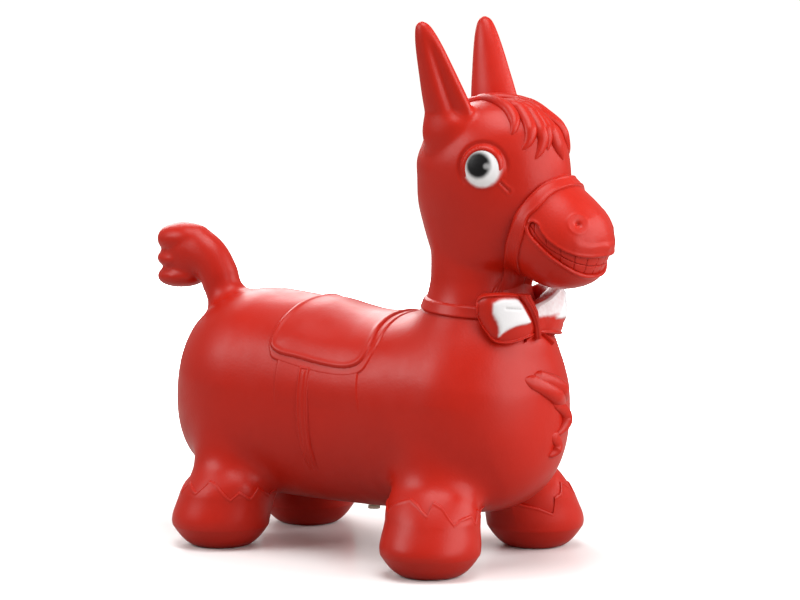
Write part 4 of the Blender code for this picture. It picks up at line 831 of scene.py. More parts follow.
def hoof_form(kind, word, side):
    """A shell from the middle of the sole up the wall, over the rim and back on to the leg."""
    hoof_x, hoof_y, offset, lean = LEG_KINDS[kind]
    hoof_x += FARTHER_FORWARD[side]

    def on_leg(height, turn):
        inward, forward, half_length, half_width = curve(LEG_ROWS[kind], height)
        middle = Vector((hoof_x + offset + lean * forward, side * (hoof_y - inward), height))
        outward = Vector((cos(turn), sin(turn), 0.0))
        seen = body_tree.ray_cast(middle, outward)[3]
        drawn = half_length * half_width / hypot(half_width * outward.x, half_length * outward.y)
        return middle + outward * (min(seen, drawn * 1.12) if seen else drawn), outward

    def wall(height, turn, top):
        lift = LIP + RIDGE * hump(top - height, 0.0014, 0.0012)
        seated, outward = on_leg(max(height, KNEE), turn)
        seated += outward * lift
        if height >= KNEE:
            return seated, outward
        reach = curve(HOOF_ROWS, height)[0]
        round_place = Vector((hoof_x + reach * outward.x, side * hoof_y + reach * outward.y, height))
        share = max(0.0, (height - BEND) / (KNEE - BEND)) ** 1.4
        seated.z = height
        return round_place.lerp(seated, share), outward

    def sole(share, turn):
        """Flat in the middle, then domed up to the sharp edge."""
        if share > FLAT_PART:
            rise = (share - FLAT_PART) / (1.0 - FLAT_PART)
            distance = SOLE_FLAT + (SOLE_RADIUS - SOLE_FLAT) * rise
        else:
            rise, distance = 0.0, SOLE_FLAT * share / FLAT_PART
        return Vector((hoof_x + distance * cos(turn), side * hoof_y + distance * sin(turn),
                       SOLE_EDGE * rise ** 1.8))

    def place(along, turn):
        top = rim_height(CROWNS[kind, word], turn)
        if along < SOLE_PART:
            return sole(along / SOLE_PART, turn)
        if along < RIM_PART:
            share = (along - SOLE_PART) / (RIM_PART - SOLE_PART)
            return wall(SOLE_EDGE + (top - SOLE_EDGE) * share, turn, top)[0]
        share = (along - RIM_PART) / (1.0 - RIM_PART)
        edge, outward = wall(top, turn, top)
        over, tucked = min(share / 0.4, 1.0), max(0.0, share - 0.4) / 0.6
        inset = (LIP + RIDGE) * 1.15 * sin(over * pi / 2.0) ** 2 + RIM_TUCK * tucked
        rise = 0.0004 * sin(over * pi) - RIM_DROP * tucked
        return edge - outward * inset + Vector((0.0, 0.0, rise))
    return pulled_ball("hoof_%s_%s_shell" % (kind, word), 300, 104, place)


for kind in LEG_KINDS:
    for word, side in SIDES:
        finished(hoof_form(kind, word, side), ["hoof_%s_%s" % (kind, word)])

# %% [markdown]
# The saddle, its cloth, the flaps and the girth are moulded in relief. Each is a fine sheet laid over
# the barrel: a grid is cast on to the skin, lifted inside its outline and sunk outside it, so that the
# edge is where the two surfaces meet. Solidify then gives the sheet its wall.

# %% Helpers for relief
MARGIN = 0.004
BARREL_REACH = 0.0965


def depth_inside(outline, places):
    """How far each place lies inside a closed outline; outside is negative."""
    corners = numpy.array(outline)
    ends = numpy.roll(corners, -1, axis=0)
    best = numpy.full(len(places), 1e9)
    inside = numpy.zeros(len(places), dtype=bool)
    for a, b in zip(corners, ends):
        line = b - a
        share = numpy.clip(((places - a) @ line) / max(line @ line, 1e-12), 0.0, 1.0)
        gap = places - (a + share[:, None] * line)
        best = numpy.minimum(best, numpy.hypot(gap[:, 0], gap[:, 1]))
        crosses = (a[1] > places[:, 1]) != (b[1] > places[:, 1])
        if a[1] != b[1]:
            inside ^= crosses & (places[:, 0] < a[0] + (places[:, 1] - a[1]) / (b[1] - a[1]) * (b[0] - a[0]))
    return numpy.where(inside, best, -best)


def closed_curve(points, steps=6):
    """A smooth closed outline through a few points."""
    count = len(points)
    made = []
    for here in range(count):
        four = [points[(here + step) % count] for step in (-1, 0, 1, 2)]
        rows = [(float(index), *point) for index, point in enumerate(four)]
        made += [tuple(curve(rows, 1.0 + step / steps)) for step in range(steps)]
    return made


def relief_sheet(name, columns, rows, project, depth, lift):
    """project(u, v) gives a place and normal, depth(u and v arrays) the distance inside the outline and
    lift(depth, u, v) the height over the skin. Points far outside are dropped."""
    start_piece()
    bpy.ops.mesh.primitive_grid_add(x_subdivisions=columns, y_subdivisions=rows, size=2.0)
    item = bpy.context.object
    item.name = name
    flat = numpy.array([point.co[:2] for point in item.data.vertices])
    inside = depth(flat)
    far = []
    for point, (u, v), deep in zip(item.data.vertices, flat, inside):
        if deep < -MARGIN:
            far.append(point.index)
            continue
        place, normal = project(u, v)
        point.co = place + normal * lift(deep, u, v)
    mesh = bmesh.new()
    mesh.from_mesh(item.data)
    mesh.verts.ensure_lookup_table()
    bmesh.ops.delete(mesh, geom=[mesh.verts[index] for index in far], context="VERTS")
    mesh.to_mesh(item.data)
    mesh.free()
    return item


def given_wall(item, outward, wall=0.002):
    """Turns a sheet's faces outwards and gives it a wall on the inside."""
    middle = item.data.polygons[len(item.data.polygons) // 2]
    if middle.normal.dot(outward(middle.center)) < 0.0:
        item.data.flip_normals()
    use_modifier(item, "SOLIDIFY", thickness=wall, offset=-1.0)
    return item


def rounded_edge(depth, radius):
    """0 at the edge, 1 at a radius inside it, on a quarter circle; negative outside."""
    if depth <= 0.0:
        return depth / radius
    share = min(depth / radius, 1.0)
    return sqrt(1.0 - (1.0 - share) ** 2)


def on_barrel(x, turn):
    """A place on the body's skin over the barrel, and its smooth normal."""
    place = barrel_point(x, turn)
    step = 0.02
    along = barrel_point(x + 0.002, turn) - barrel_point(x - 0.002, turn)
    round_it = barrel_point(x, turn + step) - barrel_point(x, turn - step)
    normal = round_it.cross(along).normalized()
    if normal.dot(place - Vector((x, 0.0, AXIS_HEIGHT))) < 0.0:
        normal.negate()
    hit = body_tree.ray_cast(place - normal * 0.015, normal)
    return (hit[0] if hit[0] is not None else place), normal


def sheet_on_barrel(name, outline, box, lift, spacing=0.0011):
    """A relief on the barrel inside an outline in x and turn (degrees)."""
    low_x, high_x, low_turn, high_turn = box
    columns = int((high_x - low_x) / spacing)
    rows = int(radians(high_turn - low_turn) * BARREL_REACH / spacing)
    edge = [(x, radians(turn) * BARREL_REACH) for x, turn in outline]

    def spread(u, v):
        return (low_x + (high_x - low_x) * (u + 1.0) / 2.0,
                radians(low_turn + (high_turn - low_turn) * (v + 1.0) / 2.0))

    def depth(flat):
        places = numpy.array([(x, turn * BARREL_REACH) for x, turn in (spread(*pair) for pair in flat)])
        return depth_inside(edge, places)

    def project(u, v):
        return on_barrel(*spread(u, v))

    item = relief_sheet(name, columns, rows, project, depth, lambda deep, u, v: lift(deep, *spread(u, v)))
    return given_wall(item, lambda place: place - Vector((place.x, 0.0, AXIS_HEIGHT)))


def both_ways(half):
    """A closed outline over the back, from its right half."""
    return half + [(x, -turn) for x, turn in reversed(half) if abs(turn) > 0.5]

# %% [markdown]
# The saddle's pad is the plumpest part of the relief: it has a rolled rim and fills up towards its
# middle. The cloth under it shows as a narrow border.

# %% Saddle
PAD_HALF = thousandths([(33.5, 0), (33.5, 12), (35, 28.6), (37.8, 43.5), (37.5, 53.5), (31.5, 60.8),
                        (17.5, 64), (-2.8, 64.2), (-25, 63.4), (-47.1, 62.4), (-69.1, 61.8), (-81.5, 58.3),
                        (-84.2, 53.2), (-84.2, 42.2), (-81.8, 30.8), (-79.5, 18.2), (-76.8, 0)], 1)
CLOTH_HALF = thousandths([(41.5, 0), (41.5, 15), (43, 30.7), (44.8, 46), (42.5, 57), (35.2, 66),
                          (17, 69.2), (-15, 69.2), (-45, 67.8), (-73.5, 65.4), (-81, 62), (-85.8, 55),
                          (-86, 42), (-83.8, 30), (-81.6, 16), (-79, 0)], 1)


def pad_lift(depth, x, turn):
    rim = hump(depth, 0.0035, 0.0028) if depth > 0.0 else 0.0
    return 0.0034 * rounded_edge(depth, 0.0034) + 0.0007 * rim + 0.0016 * ease(depth / 0.03)


saddle_pad = sheet_on_barrel("saddle_pad", closed_curve(both_ways(PAD_HALF)), (-0.096, 0.041, -70.0, 70.0),
                             pad_lift)
finished(saddle_pad, ["saddle"])
saddle_cloth = sheet_on_barrel("saddle_cloth", closed_curve(both_ways(CLOTH_HALF)),
                               (-0.098, 0.048, -73.0, 73.0),
                               lambda depth, x, turn: 0.0015 * rounded_edge(depth, 0.0022))
finished(saddle_cloth)

# %% [markdown]
# Under the cloth a flap hangs on each side and fades into the belly, and the girth runs down over it
# between two pressed lines.

# %% Flaps and girth
FLAP = thousandths([(-70, 64), (-70, 76), (-70, 90), (-69, 108), (42, 108), (37.5, 90), (33.5, 78),
                    (31, 64)], 1)
GIRTH = thousandths([(-42.5, 66), (-42.2, 78.2), (-41.9, 93.3), (-40.4, 108.6), (-37.5, 121.8), (-35, 137),
                     (-22.8, 137), (-24.7, 122.5), (-27.4, 110.9), (-28.1, 96.6), (-28.5, 79.4),
                     (-28.3, 66)], 1)


def flap_lift(depth, x, turn):
    fade = 1.0 - ease((abs(in_degrees(turn)) - 74.0) / 26.0)
    return 0.0013 * rounded_edge(depth, 0.0020) * fade - 0.0006 * (1.0 - fade)


def girth_lift(depth, x, turn):
    degrees = abs(in_degrees(turn))
    fade = 1.0 - ease((degrees - 112.0) / 20.0)
    dip = hump(depth, 0.0040, 0.0012)
    return 0.0023 * rounded_edge(depth, 0.0022) * fade - 0.0006 * dip * fade - 0.0007 * (1.0 - fade)


for word, side in SIDES:
    turned_girth = [(x, turn * side) for x, turn in GIRTH]
    turned_flap = [(x, turn * side) for x, turn in FLAP]
    reach = (62.0, 110.0) if side > 0 else (-110.0, -62.0)
    flap = sheet_on_barrel("flap_" + word, turned_flap, (-0.076, 0.048, *reach), flap_lift)
    finished(flap, ["saddle_flap_" + word])
    reach = (62.0, 139.0) if side > 0 else (-139.0, -62.0)
    girth = sheet_on_barrel("girth_band_" + word, turned_girth, (-0.048, -0.018, *reach), girth_lift, 0.0007)
    finished(girth, ["girth_" + word])

# %% [markdown]
# The strap round the neck is a flat band with rounded edges, a little lower in front. It is cast on to
# the skins of body and head, whose join it hides.

# %% Neck strap
STRAP_HEIGHT, STRAP_WIDTH, STRAP_SLOPE = 0.2690, 0.0125, 0.051
STRAP_THICKNESS, STRAP_SUNK, STRAP_EDGE = 0.0036, 0.0012, 0.0026


def strap_place(along, turn):
    """Round the neck at a height that falls towards the front, over whichever skin stands out more."""
    share = spaced(along)
    height = STRAP_HEIGHT + (share - 0.5) * STRAP_WIDTH - STRAP_SLOPE * (cos(turn) * 0.058)
    outward = Vector((cos(turn), sin(turn), 0.0))
    middle = Vector((NECK_X, 0.0, height))
    seen = [tree.ray_cast(middle, outward)[3] or 0.0 for tree in (body_tree, head_tree)]
    reach = max(curve(NECK_ROWS, height)[0], *[found for found in seen if found < 0.09])
    edge = min(share, 1.0 - share) * STRAP_WIDTH
    bulge = sqrt(max(0.0, 1.0 - (1.0 - min(edge / STRAP_EDGE, 1.0)) ** 2))
    return middle + outward * (reach - STRAP_SUNK + STRAP_THICKNESS * bulge)


finished(pulled_ball("neck_strap_band", 256, 64, strap_place), ["neck_strap"])

# %% [markdown]
# The noseband is the same kind of strap round the root of the muzzle. Its two edges were found as lines
# on the head, so it is a sheet between them, with a bead along each edge.

# %% Noseband
BAND_UPPER = thousandths([(227.2, 0, 406), (223.5, -15, 403.5), (214.9, -31.6, 397), (208, -40, 388),
                          (201.6, -44.7, 380), (195, -47.3, 370), (188, -45.5, 354), (181, -42, 338),
                          (176, -36, 324), (170, -22, 310), (167, 0, 303)])
BAND_LOWER = thousandths([(237.2, 0, 397.5), (234.5, -14, 396.2), (230, -28, 392.5), (227, -36, 388),
                          (220.8, -45, 378), (212.3, -50.6, 368), (208.5, -53.3, 351), (201.6, -50, 335),
                          (195, -41, 321), (188, -22, 306), (186, 0, 300)])
BAND_AXIS_TOP, BAND_AXIS_FOOT = Vector((0.200, 0.0, 0.360)), Vector((0.180, 0.0, 0.340))


def band_ray(u, v):
    """From the band's axis out through a place between its edges, and how far off the skins are."""
    upper, lower = on_line(BAND_UPPER, abs(u)), on_line(BAND_LOWER, abs(u))
    place = upper + (lower - upper) * (0.5 + 0.68 * v)
    if u > 0.0:
        place.y = -place.y
    middle = BAND_AXIS_TOP + (BAND_AXIS_FOOT - BAND_AXIS_TOP) * abs(u)
    outward = (place - middle).normalized()
    reaches = [tree.ray_cast(middle, outward)[3] or 0.0 for tree in (head_tree, muzzle_skin_tree)]
    return middle, outward, max(reaches) or (place - middle).length


BAND_COLUMNS, BAND_LINES = 240, 11
band_reach = numpy.array([[band_ray(-1.0 + 2.0 * i / BAND_COLUMNS, -1.0 + 2.0 * j / (BAND_LINES - 1))[2]
                           for j in range(BAND_LINES)] for i in range(BAND_COLUMNS + 1)])
for _ in range(12):
    padded = numpy.pad(band_reach, 1, mode="edge")
    beside = padded[:-2, 1:-1] + padded[2:, 1:-1] + padded[1:-1, :-2] + padded[1:-1, 2:]
    band_reach = 0.5 * band_reach + 0.125 * beside


def band_project(u, v):
    """The band lies on the skins, drawn tight over the crease between head and muzzle."""
    middle, outward, seen = band_ray(u, v)
    i, j = (u + 1.0) / 2.0 * BAND_COLUMNS, (v + 1.0) / 2.0 * (BAND_LINES - 1)
    low_i, low_j = min(int(i), BAND_COLUMNS - 1), min(int(j), BAND_LINES - 2)
    a, b = i - low_i, j - low_j
    tight = ((1 - a) * (1 - b) * band_reach[low_i, low_j] + a * (1 - b) * band_reach[low_i + 1, low_j]
             + (1 - a) * b * band_reach[low_i, low_j + 1] + a * b * band_reach[low_i + 1, low_j + 1])
    inner = ease((0.75 - abs(v)) / 0.35)
    return middle + outward * (max(seen, tight) * inner + seen * (1.0 - inner)), outward


def band_lift(depth, u, v):
    bead = hump(depth, 0.0014, 0.0010) if depth > 0.0 else 0.0
    return 0.0020 * rounded_edge(depth, 0.0016) + 0.0007 * bead


noseband = relief_sheet("noseband_strap", 300, 44, band_project,
                        lambda flat: (1.0 - numpy.abs(flat[:, 1]) * 1.36) * 0.0062, band_lift)
given_wall(noseband, lambda place: place - Vector((0.190, 0.0, 0.350)))
finished(noseband, ["noseband"])

# %% [markdown]
# The teeth are one band of rounded blocks in two rows. Each place on the band is found by looking out
# from the middle of the muzzle, at the height of the tooth line or a lip there.

# %% Teeth
TOOTH_TURN = radians(15.0)
TOOTH_DEPTH, GUM_DEPTH, TOOTH_BACK = 0.0024, 0.0036, 0.0095
TOOTH_AXIS_X = 0.2130
GROOVE = 0.0011


def between(upper, lower, gap):
    """A closed outline between two lines of the side view, held apart from both."""
    down, up = Vector((0.0, 0.0, -gap)), Vector((0.0, 0.0, gap))
    return [point + down for point in upper] + [point + up for point in reversed(lower)]


def band_of_mouth(name, outline, depth):
    """The part of a slab that lies between two depths in the muzzle."""
    band = side_slab(name, outline)
    for used, operation in ((inner_muzzle(depth), "INTERSECT"), (inner_muzzle(TOOTH_BACK), "DIFFERENCE")):
        cut(band, used, operation)
        bpy.data.objects.remove(used)
    return band


def row_of_teeth(name, upper, lower, below):
    """One row: blocks with grooves between them, on a gum that closes the grooves."""
    row = band_of_mouth(name, between(upper, lower, GROOVE / 2.0), TOOTH_DEPTH)
    for step in range(-7, 7):
        angle = TOOTH_TURN * (step + 0.5)
        start_piece()
        bpy.ops.mesh.primitive_cube_add(size=1.0, location=(TOOTH_AXIS_X + 0.05 * cos(angle),
                                                            0.05 * sin(angle), 0.335),
                                        rotation=(0.0, 0.0, angle))
        blade = bpy.context.object
        blade.scale = (0.09, GROOVE, 0.10)
        bpy.ops.object.transform_apply(location=True, rotation=True, scale=True)
        cut(row, blade)
        bpy.data.objects.remove(blade)
    gum = band_of_mouth("gum", between(upper, lower, -0.0002 if below else 0.0002), GUM_DEPTH)
    row = joined(name, [row, gum])
    use_modifier(row, "REMESH", mode="VOXEL", voxel_size=0.0005)
    use_modifier(row, "SMOOTH", factor=0.5, iterations=4)
    return row


upper_line, tooth_line, lower_line = side_line(UPPER_LIP), side_line(TOOTH_LINE), side_line(LOWER_LIP)
upper_row = row_of_teeth("teeth_upper", upper_line, tooth_line, True)
lower_row = row_of_teeth("teeth_lower", tooth_line, lower_line, False)
finished(upper_row, ["upper_teeth"])
finished(lower_row, ["lower_teeth"])

# %% [markdown]
# The eyes bulge a little and are painted by spray through a mask: a white disc and a black pupil, both
# with soft edges. A lighter spot in the pupil is a painted highlight. The paint is an attribute on the
# piece's points, so it follows the surface.

# %% Painted finishes
# The white mask also holds a painted glare on the far bow loop. The black mask also holds painted shade along
# the bow's folds, and is thinned for a painted highlight in the pupil.
PAINT_AND_LIGHT_MASKS = (("white_paint_and_painted_glare", (0.86, 0.86, 0.88), 0.30), ("black_paint_and_painted_light", (0.003, 0.003, 0.004), 0.12))
SPECK_SCALE = 260.0


def worked(tree, operation, *values):
    """A sum made by a node, of sockets and numbers."""
    node = new_node(tree, "Math")
    node.operation = operation
    for index, value in enumerate(values):
        feed(tree, node, index, value)
    return node.outputs[0]


def sprayed(name):
    """Red vinyl under white and black spray, and under painted light and shade; the masks are attributes of
    the piece.
    """
    made = clouded(name)
    tree = made.node_tree
    surface = next(node for node in tree.nodes if node.type == "BSDF_PRINCIPLED")
    under = surface.inputs["Base Color"].links[0].from_socket
    speck = new_node(tree, "TexNoise", Vector=new_node(tree, "TexCoord").outputs["Object"],
                     Scale=SPECK_SCALE, Detail=3.0).outputs["Fac"]
    for mask_name, colour, spread in PAINT_AND_LIGHT_MASKS:
        mask = new_node(tree, "Attribute")
        mask.attribute_name = mask_name
        shift = worked(tree, "MULTIPLY_ADD", speck, spread, -0.5 * spread)
        edge = new_node(tree, "MapRange", Value=worked(tree, "ADD", mask.outputs["Fac"], shift),
                        From_Min=0.05, From_Max=0.95)
        edge.interpolation_type = "SMOOTHSTEP"
        under = blended(tree, under, colour, edge.outputs["Result"])
    feed(tree, surface, "Base Color", under)
    return made


def add_colour_mask(item, name, amounts):
    """Stores a colour mask on a piece's points, for paint or for painted light and shade: 0 is bare and 1 is
    covered.
    """
    item.data.attributes.new(name, "FLOAT", "POINT").data.foreach_set("value", amounts)


eye_paint_and_glint, bow_paint_and_painted_light = sprayed("eye_paint_and_glint"), sprayed("bow_paint_and_painted_light")

# %% Eyes and eyelids
EYE_RADIUS, EYE_BULGE, EYE_SUNK = 0.0230, 0.0052, 0.0003
WHITE_REACH, WHITE_SPRAY = 0.0156, 0.0078
PUPIL_AHEAD, PUPIL_RISE, PUPIL_REACH, PUPIL_SPRAY = -0.0032, 0.0030, 0.0086, 0.0092
# GLINT is a painted highlight: a spot where the pupil's black is thinned.
GLINT_AHEAD, GLINT_RISE, GLINT_REACH, GLINT_SPRAY, GLINT_SHARE = 0.0088, -0.0006, 0.0010, 0.0045, 0.42
LID_ROWS = thousandths([
    # degrees round the eye, outer reach, fullness of the fold
    (-12, 19, 0), (5, 21.5, 0.6), (40, 23.5, 1), (70, 24, 1), (90, 24.2, 1), (120, 24.4, 1.1),
    (150, 24.6, 1.25), (180, 24.2, 1.1), (198, 23.2, 0.5), (214, 20.5, 0),
], 0, 2)
LID_INNER, LID_START, LID_SWEEP = 0.0175, -14.0, 230.0
LID_LOW, LID_PAST, LID_FOLD = 0.0150, 0.003, 0.0021
LASH_DEPTH, LASH_RATE = 0.0006, 34.0


def eye_height(reach):
    """How far the eyeball stands out of the socket."""
    return EYE_BULGE * max(0.0, 1.0 - (reach / EYE_RADIUS) ** 2) ** 0.8


def lid_row(u, v):
    """Where a place on the eyelid's sheet lies: its turn, the fold's edge and fullness, its reach."""
    turned = LID_START + LID_SWEEP * (u + 1.0) / 2.0
    outer, full = curve(LID_ROWS, turned)
    return turned, outer, full, LID_LOW + (outer + LID_PAST - LID_LOW) * (v + 1.0) / 2.0


def lid_lift(depth, u, v):
    """A fold over the eyeball's rim, sunk at both its edges and scored with lashes."""
    turned, outer, full, reach = lid_row(u, v)
    share = (reach - LID_INNER) / (outer - LID_INNER)
    if share >= 1.0:
        return max(-0.0012, (1.0 - share) * 0.006)
    if share <= 0.0:
        return max(-0.0006, eye_height(reach) - 0.0008 + share * 0.004)
    lash = 0.0
    if 95.0 < turned < 165.0 and share > 0.30:
        stripe = max(0.0, cos(radians(turned) * LASH_RATE)) ** 4
        lash = LASH_DEPTH * stripe * ease((share - 0.30) / 0.2)
    return eye_height(reach) * 0.75 + LID_FOLD * full * sin(pi * share) ** 0.6 - lash - 0.0002


def eye_and_lid(word, side):
    """The eyeball is a flat dome on the head, and the eyelid a sheet folded over its upper rim."""
    middle = EYE_MIDDLES[side]
    ahead, rise, outward = EYE_WAYS[side]

    def near_eye(reach, turn):
        place = middle + (ahead * cos(turn) + rise * sin(turn)) * reach
        return head_tree.ray_cast(place + outward * 0.02, -outward)[0] or place

    def eye_place(along, turn):
        reach = EYE_RADIUS * sin(pi * along)
        return near_eye(reach, turn) + outward * ((eye_height(reach) if along > 0.5 else -0.003) - EYE_SUNK)

    def disc(place, centre, reach, spray):
        """1 inside a disc on the eye, fading to 0 over its soft edge: sprayed paint, or the pupil's painted
        highlight.
        """
        away = place - centre
        return 1.0 - ease(((away - outward * away.dot(outward)).length - reach) / spray)

    eye = pulled_ball("eye_%s_dome" % word, 112, 104, eye_place)
    pupil = middle + ahead * PUPIL_AHEAD + rise * PUPIL_RISE
    # The glint is a painted highlight, taken out of the pupil's black paint.
    glint = pupil + ahead * GLINT_AHEAD + rise * GLINT_RISE
    places = [point.co for point in eye.data.vertices]
    add_colour_mask(eye, "white_paint_and_painted_glare", [disc(place, middle, WHITE_REACH, WHITE_SPRAY) for place in places])
    add_colour_mask(eye, "black_paint_and_painted_light", [disc(place, pupil, PUPIL_REACH, PUPIL_SPRAY)
                                 * (1.0 - GLINT_SHARE * disc(place, glint, GLINT_REACH, GLINT_SPRAY))
                                 for place in places])
    finished(eye, ["eye_" + word, "pupil_" + word], eye_paint_and_glint)

    def lid_project(u, v):
        turned, _, _, reach = lid_row(u, v)
        return near_eye(reach, radians(turned)), outward

    lid = relief_sheet("eyelid_%s_fold" % word, 280, 44, lid_project, lambda flat: numpy.ones(len(flat)),
                       lid_lift)
    given_wall(lid, lambda place: outward, 0.0015)
    finished(lid, ["eyelid_" + word])


for word, side in SIDES:
    eye_and_lid(word, side)

# %% [markdown]
# The hair is moulded as locks that lie on the skin. A lock is a ball drawn out along a line on the head:
# round at its root, full in the middle and pointed at its tip, with a ridge along it.

# %% Hair
LOCK_SUNK = 0.0012


def drawn_lock(name, tree, points, half_width, height, ridge=1.4, grow=0.0, rise=0.0, fineness=(40, 72)):
    """A lock that follows a skin along a line: leaf shaped, with a ridge along it. It may grow wider
    along its length, and rise from a flat root."""
    def middle(share):
        place = on_line(points, min(max(share, 0.0), 1.0))
        found, normal, _, _ = tree.find_nearest(place)
        return found, normal

    def place(along, turn):
        share = spaced(along)
        here, normal = middle(share)
        later, sooner = middle(share + 0.04)[0], middle(share - 0.04)[0]
        smooth = (normal + middle(share + 0.06)[1] + middle(share - 0.06)[1]).normalized()
        ahead = (later - sooner).normalized()
        across = smooth.cross(ahead).normalized()
        root = min(1.0, share / 0.16) ** 0.5
        tip = min(1.0, (1.0 - share) / 0.34) ** 0.55
        wide = half_width * root * tip * (1.0 + grow * share)
        side_way, up_way = cos(turn), sin(turn)
        full = root * tip
        if up_way > 0.0:
            risen = 1.0 - rise + rise * ease(share / 0.7)
            lift = height * full * (0.35 * up_way + 0.65 * up_way ** ridge) * risen
        else:
            lift = height * full * up_way * 0.5
        return here + across * wide * side_way + smooth * (lift - LOCK_SUNK * (1.0 - full))
    return pulled_ball(name, *fineness, place)


LOCKS = [
    # line and half width, in millimetres
    ([(107.7, 6, 481.5), (125.3, -2, 484.2), (150.7, -14.9, 480.9), (167.8, -23.1, 478),
      (177.6, -27.5, 471.6), (185.2, -33.1, 464.1), (188.8, -39.8, 456.6), (187.9, -45.2, 449.8)], 6.6),
    ([(150, -6, 484), (171.2, -15.1, 478.7), (179.6, -15.1, 475.9), (189.9, -20.3, 468.5),
      (197.9, -25.5, 460.1), (202.7, -30.5, 451.5), (203, -35.8, 442.7), (198.9, -42.6, 434.9)], 7.2),
    ([(155, -3, 483.5), (178.4, -11.3, 477.7), (189.2, -9.2, 471.9), (199.4, -14.3, 463.5),
      (208.4, -19.4, 454), (211.7, -21.7, 444.2), (212.2, -27.4, 434.4), (209.2, -34.2, 425.1)], 7),
    ([(160, -3, 483), (185.9, -3.9, 474.5), (197.2, -6.7, 466.9), (209, -12.5, 456.6),
      (214.2, -15.1, 444.8), (215.8, -19.7, 433)], 6.2),
    ([(160, -1, 483), (190.9, -2.2, 471.5), (203.8, -3.8, 461.9), (213.5, -6, 451.3), (218.3, -4.1, 439.1),
      (220.9, -0.3, 429.8), (221.9, 4, 422.3)], 7.2),
]
LOCKS += [([(x, -y, z) for x, y, z in points], wide) for points, wide in LOCKS[:3]]
locks = [drawn_lock("lock", head_tree, thousandths(points), wide / 1000.0, 0.0054) for points, wide in LOCKS]
MANE = thousandths([(148, 0, 484.5), (120, 0, 482), (95, 0, 470), (74, 0, 448), (62, 0, 420),
                    (58, 0, 395)])
for shift, wide in ((-0.0075, 0.0062), (0.0075, 0.0062), (0.0, 0.0070)):
    locks.append(drawn_lock("mane", head_tree, [(x, y + shift, z) for x, y, z in MANE], wide, 0.0042,
                            fineness=(48, 96)))
finished(joined("forelock_hair", locks), ["forelock"])

TUFTS = {
    # line, half width, height, growth along it; lengths in millimetres
    "upper": [
        ([(204, -28, 203.5), (208.2, -15, 199), (211.4, 2, 191.8), (211.6, 18, 181.5),
          (208.4, 31, 171)], 6.8, 9.6, 0.75),
        ([(201, -40, 201.5), (207.5, -25, 194.5), (211.5, -9, 186), (212.6, 8, 176.2),
          (211.8, 22, 165.5)], 6.8, 8.2, 0.75),
    ],
    "middle": [
        ([(213, -6, 176), (214.1, 6, 171), (212.6, 19, 162.5), (211.4, 24.5, 153.5), (212.1, 18, 144),
          (213, 3, 137.5)], 6.6, 8.2, 0.35),
    ],
    "lower": [
        ([(213, -4, 140), (213.1, 4, 134.5), (212, 8.5, 127.5), (211.4, 4.5, 120.5),
          (210.5, -5.7, 116.6)], 6.2, 7, 0.15),
    ],
}
for word, parts in TUFTS.items():
    made = [drawn_lock("part", body_tree, thousandths(points), wide / 1000.0, tall / 1000.0, ridge=1.2,
                       grow=grow, rise=0.7, fineness=(56, 80)) for points, wide, tall, grow in parts]
    finished(joined("chest_lock_" + word, made), ["chest_tuft_" + word])

# %% [markdown]
# The bow wraps round the front of the neck: two plump loops with a raised border and a sprayed white
# middle, a knot between them and two short ends below. Both loops follow one table; the far one is drawn
# out over more of the turn, as the photo shows it. Its whole upper half is paled, partly by the white
# spray and partly by a painted glare of the light from behind. A grey line along a fold of each loop is
# painted shade.

# %% Bow
BOW_ROWS = thousandths([
    # turn in degrees, outer radius, top, bottom
    (6, 77, 270, 246), (12, 81.5, 275, 244), (18, 87, 280, 243), (24, 89.3, 285, 241.5),
    (31, 90.5, 288.5, 239), (38, 90.5, 290, 237.5), (46, 89, 290, 238.2), (50, 87, 289.5, 241.5),
    (53, 85.5, 289, 247), (57, 82, 287.5, 254.5), (60, 79, 284.5, 262), (62.5, 75, 279, 269),
], 0)
WHITE_PATCH = closed_curve(thousandths([(50, 276.5), (49, 281), (44, 284.6), (38, 285), (34, 284.8),
                                        (31, 282.5), (27, 273.5), (23, 264), (21, 259), (25, 257.5),
                                        (34, 255.8), (41, 251.2), (46, 245), (46, 252), (47, 260),
                                        (50, 269)], 0), 5)
# The fold line: pressed in as a crease, and darkened along it as painted shade.
FOLD_WITH_PAINTED_SHADE = [(41.0, 0.2752), (36.0, 0.2745), (31.0, 0.2738)]
DEGREE = 0.0015
LOOP_FIRST, LOOP_END, LOOP_START = 6.0, 62.5, {-1: 6.0, 1: -14.0}
LOOP_THICKNESS, LOOP_FACE = 0.0125, 0.007
FIELD_DEPTH, PUFF_SHARE, FOLD_DEPTH, PATCH_EDGE = 0.0036, 0.92, 0.0011, 0.0009


def line_gap(line, degrees, height):
    """Distance from a line drawn on the loop, in metres."""
    marks = [on_line([(*mark, 0.0) for mark in line], step / 14.0) for step in range(15)]
    return min(hypot((degrees - mark.x) * DEGREE, height - mark.y) for mark in marks)


def bow_place_of(side, place):
    """A place on a loop as the near loop's turn and height: the far loop is drawn longer."""
    degrees = in_degrees(atan2(place.y * side, place.x - NECK_X))
    return LOOP_END - (LOOP_END - degrees) * (LOOP_END - LOOP_FIRST) / (LOOP_END - LOOP_START[side]), place.z


def patch_depth(places):
    edge = [(degrees * DEGREE, height) for degrees, height in WHITE_PATCH]
    return depth_inside(edge, numpy.array([(degrees * DEGREE, height) for degrees, height in places]))


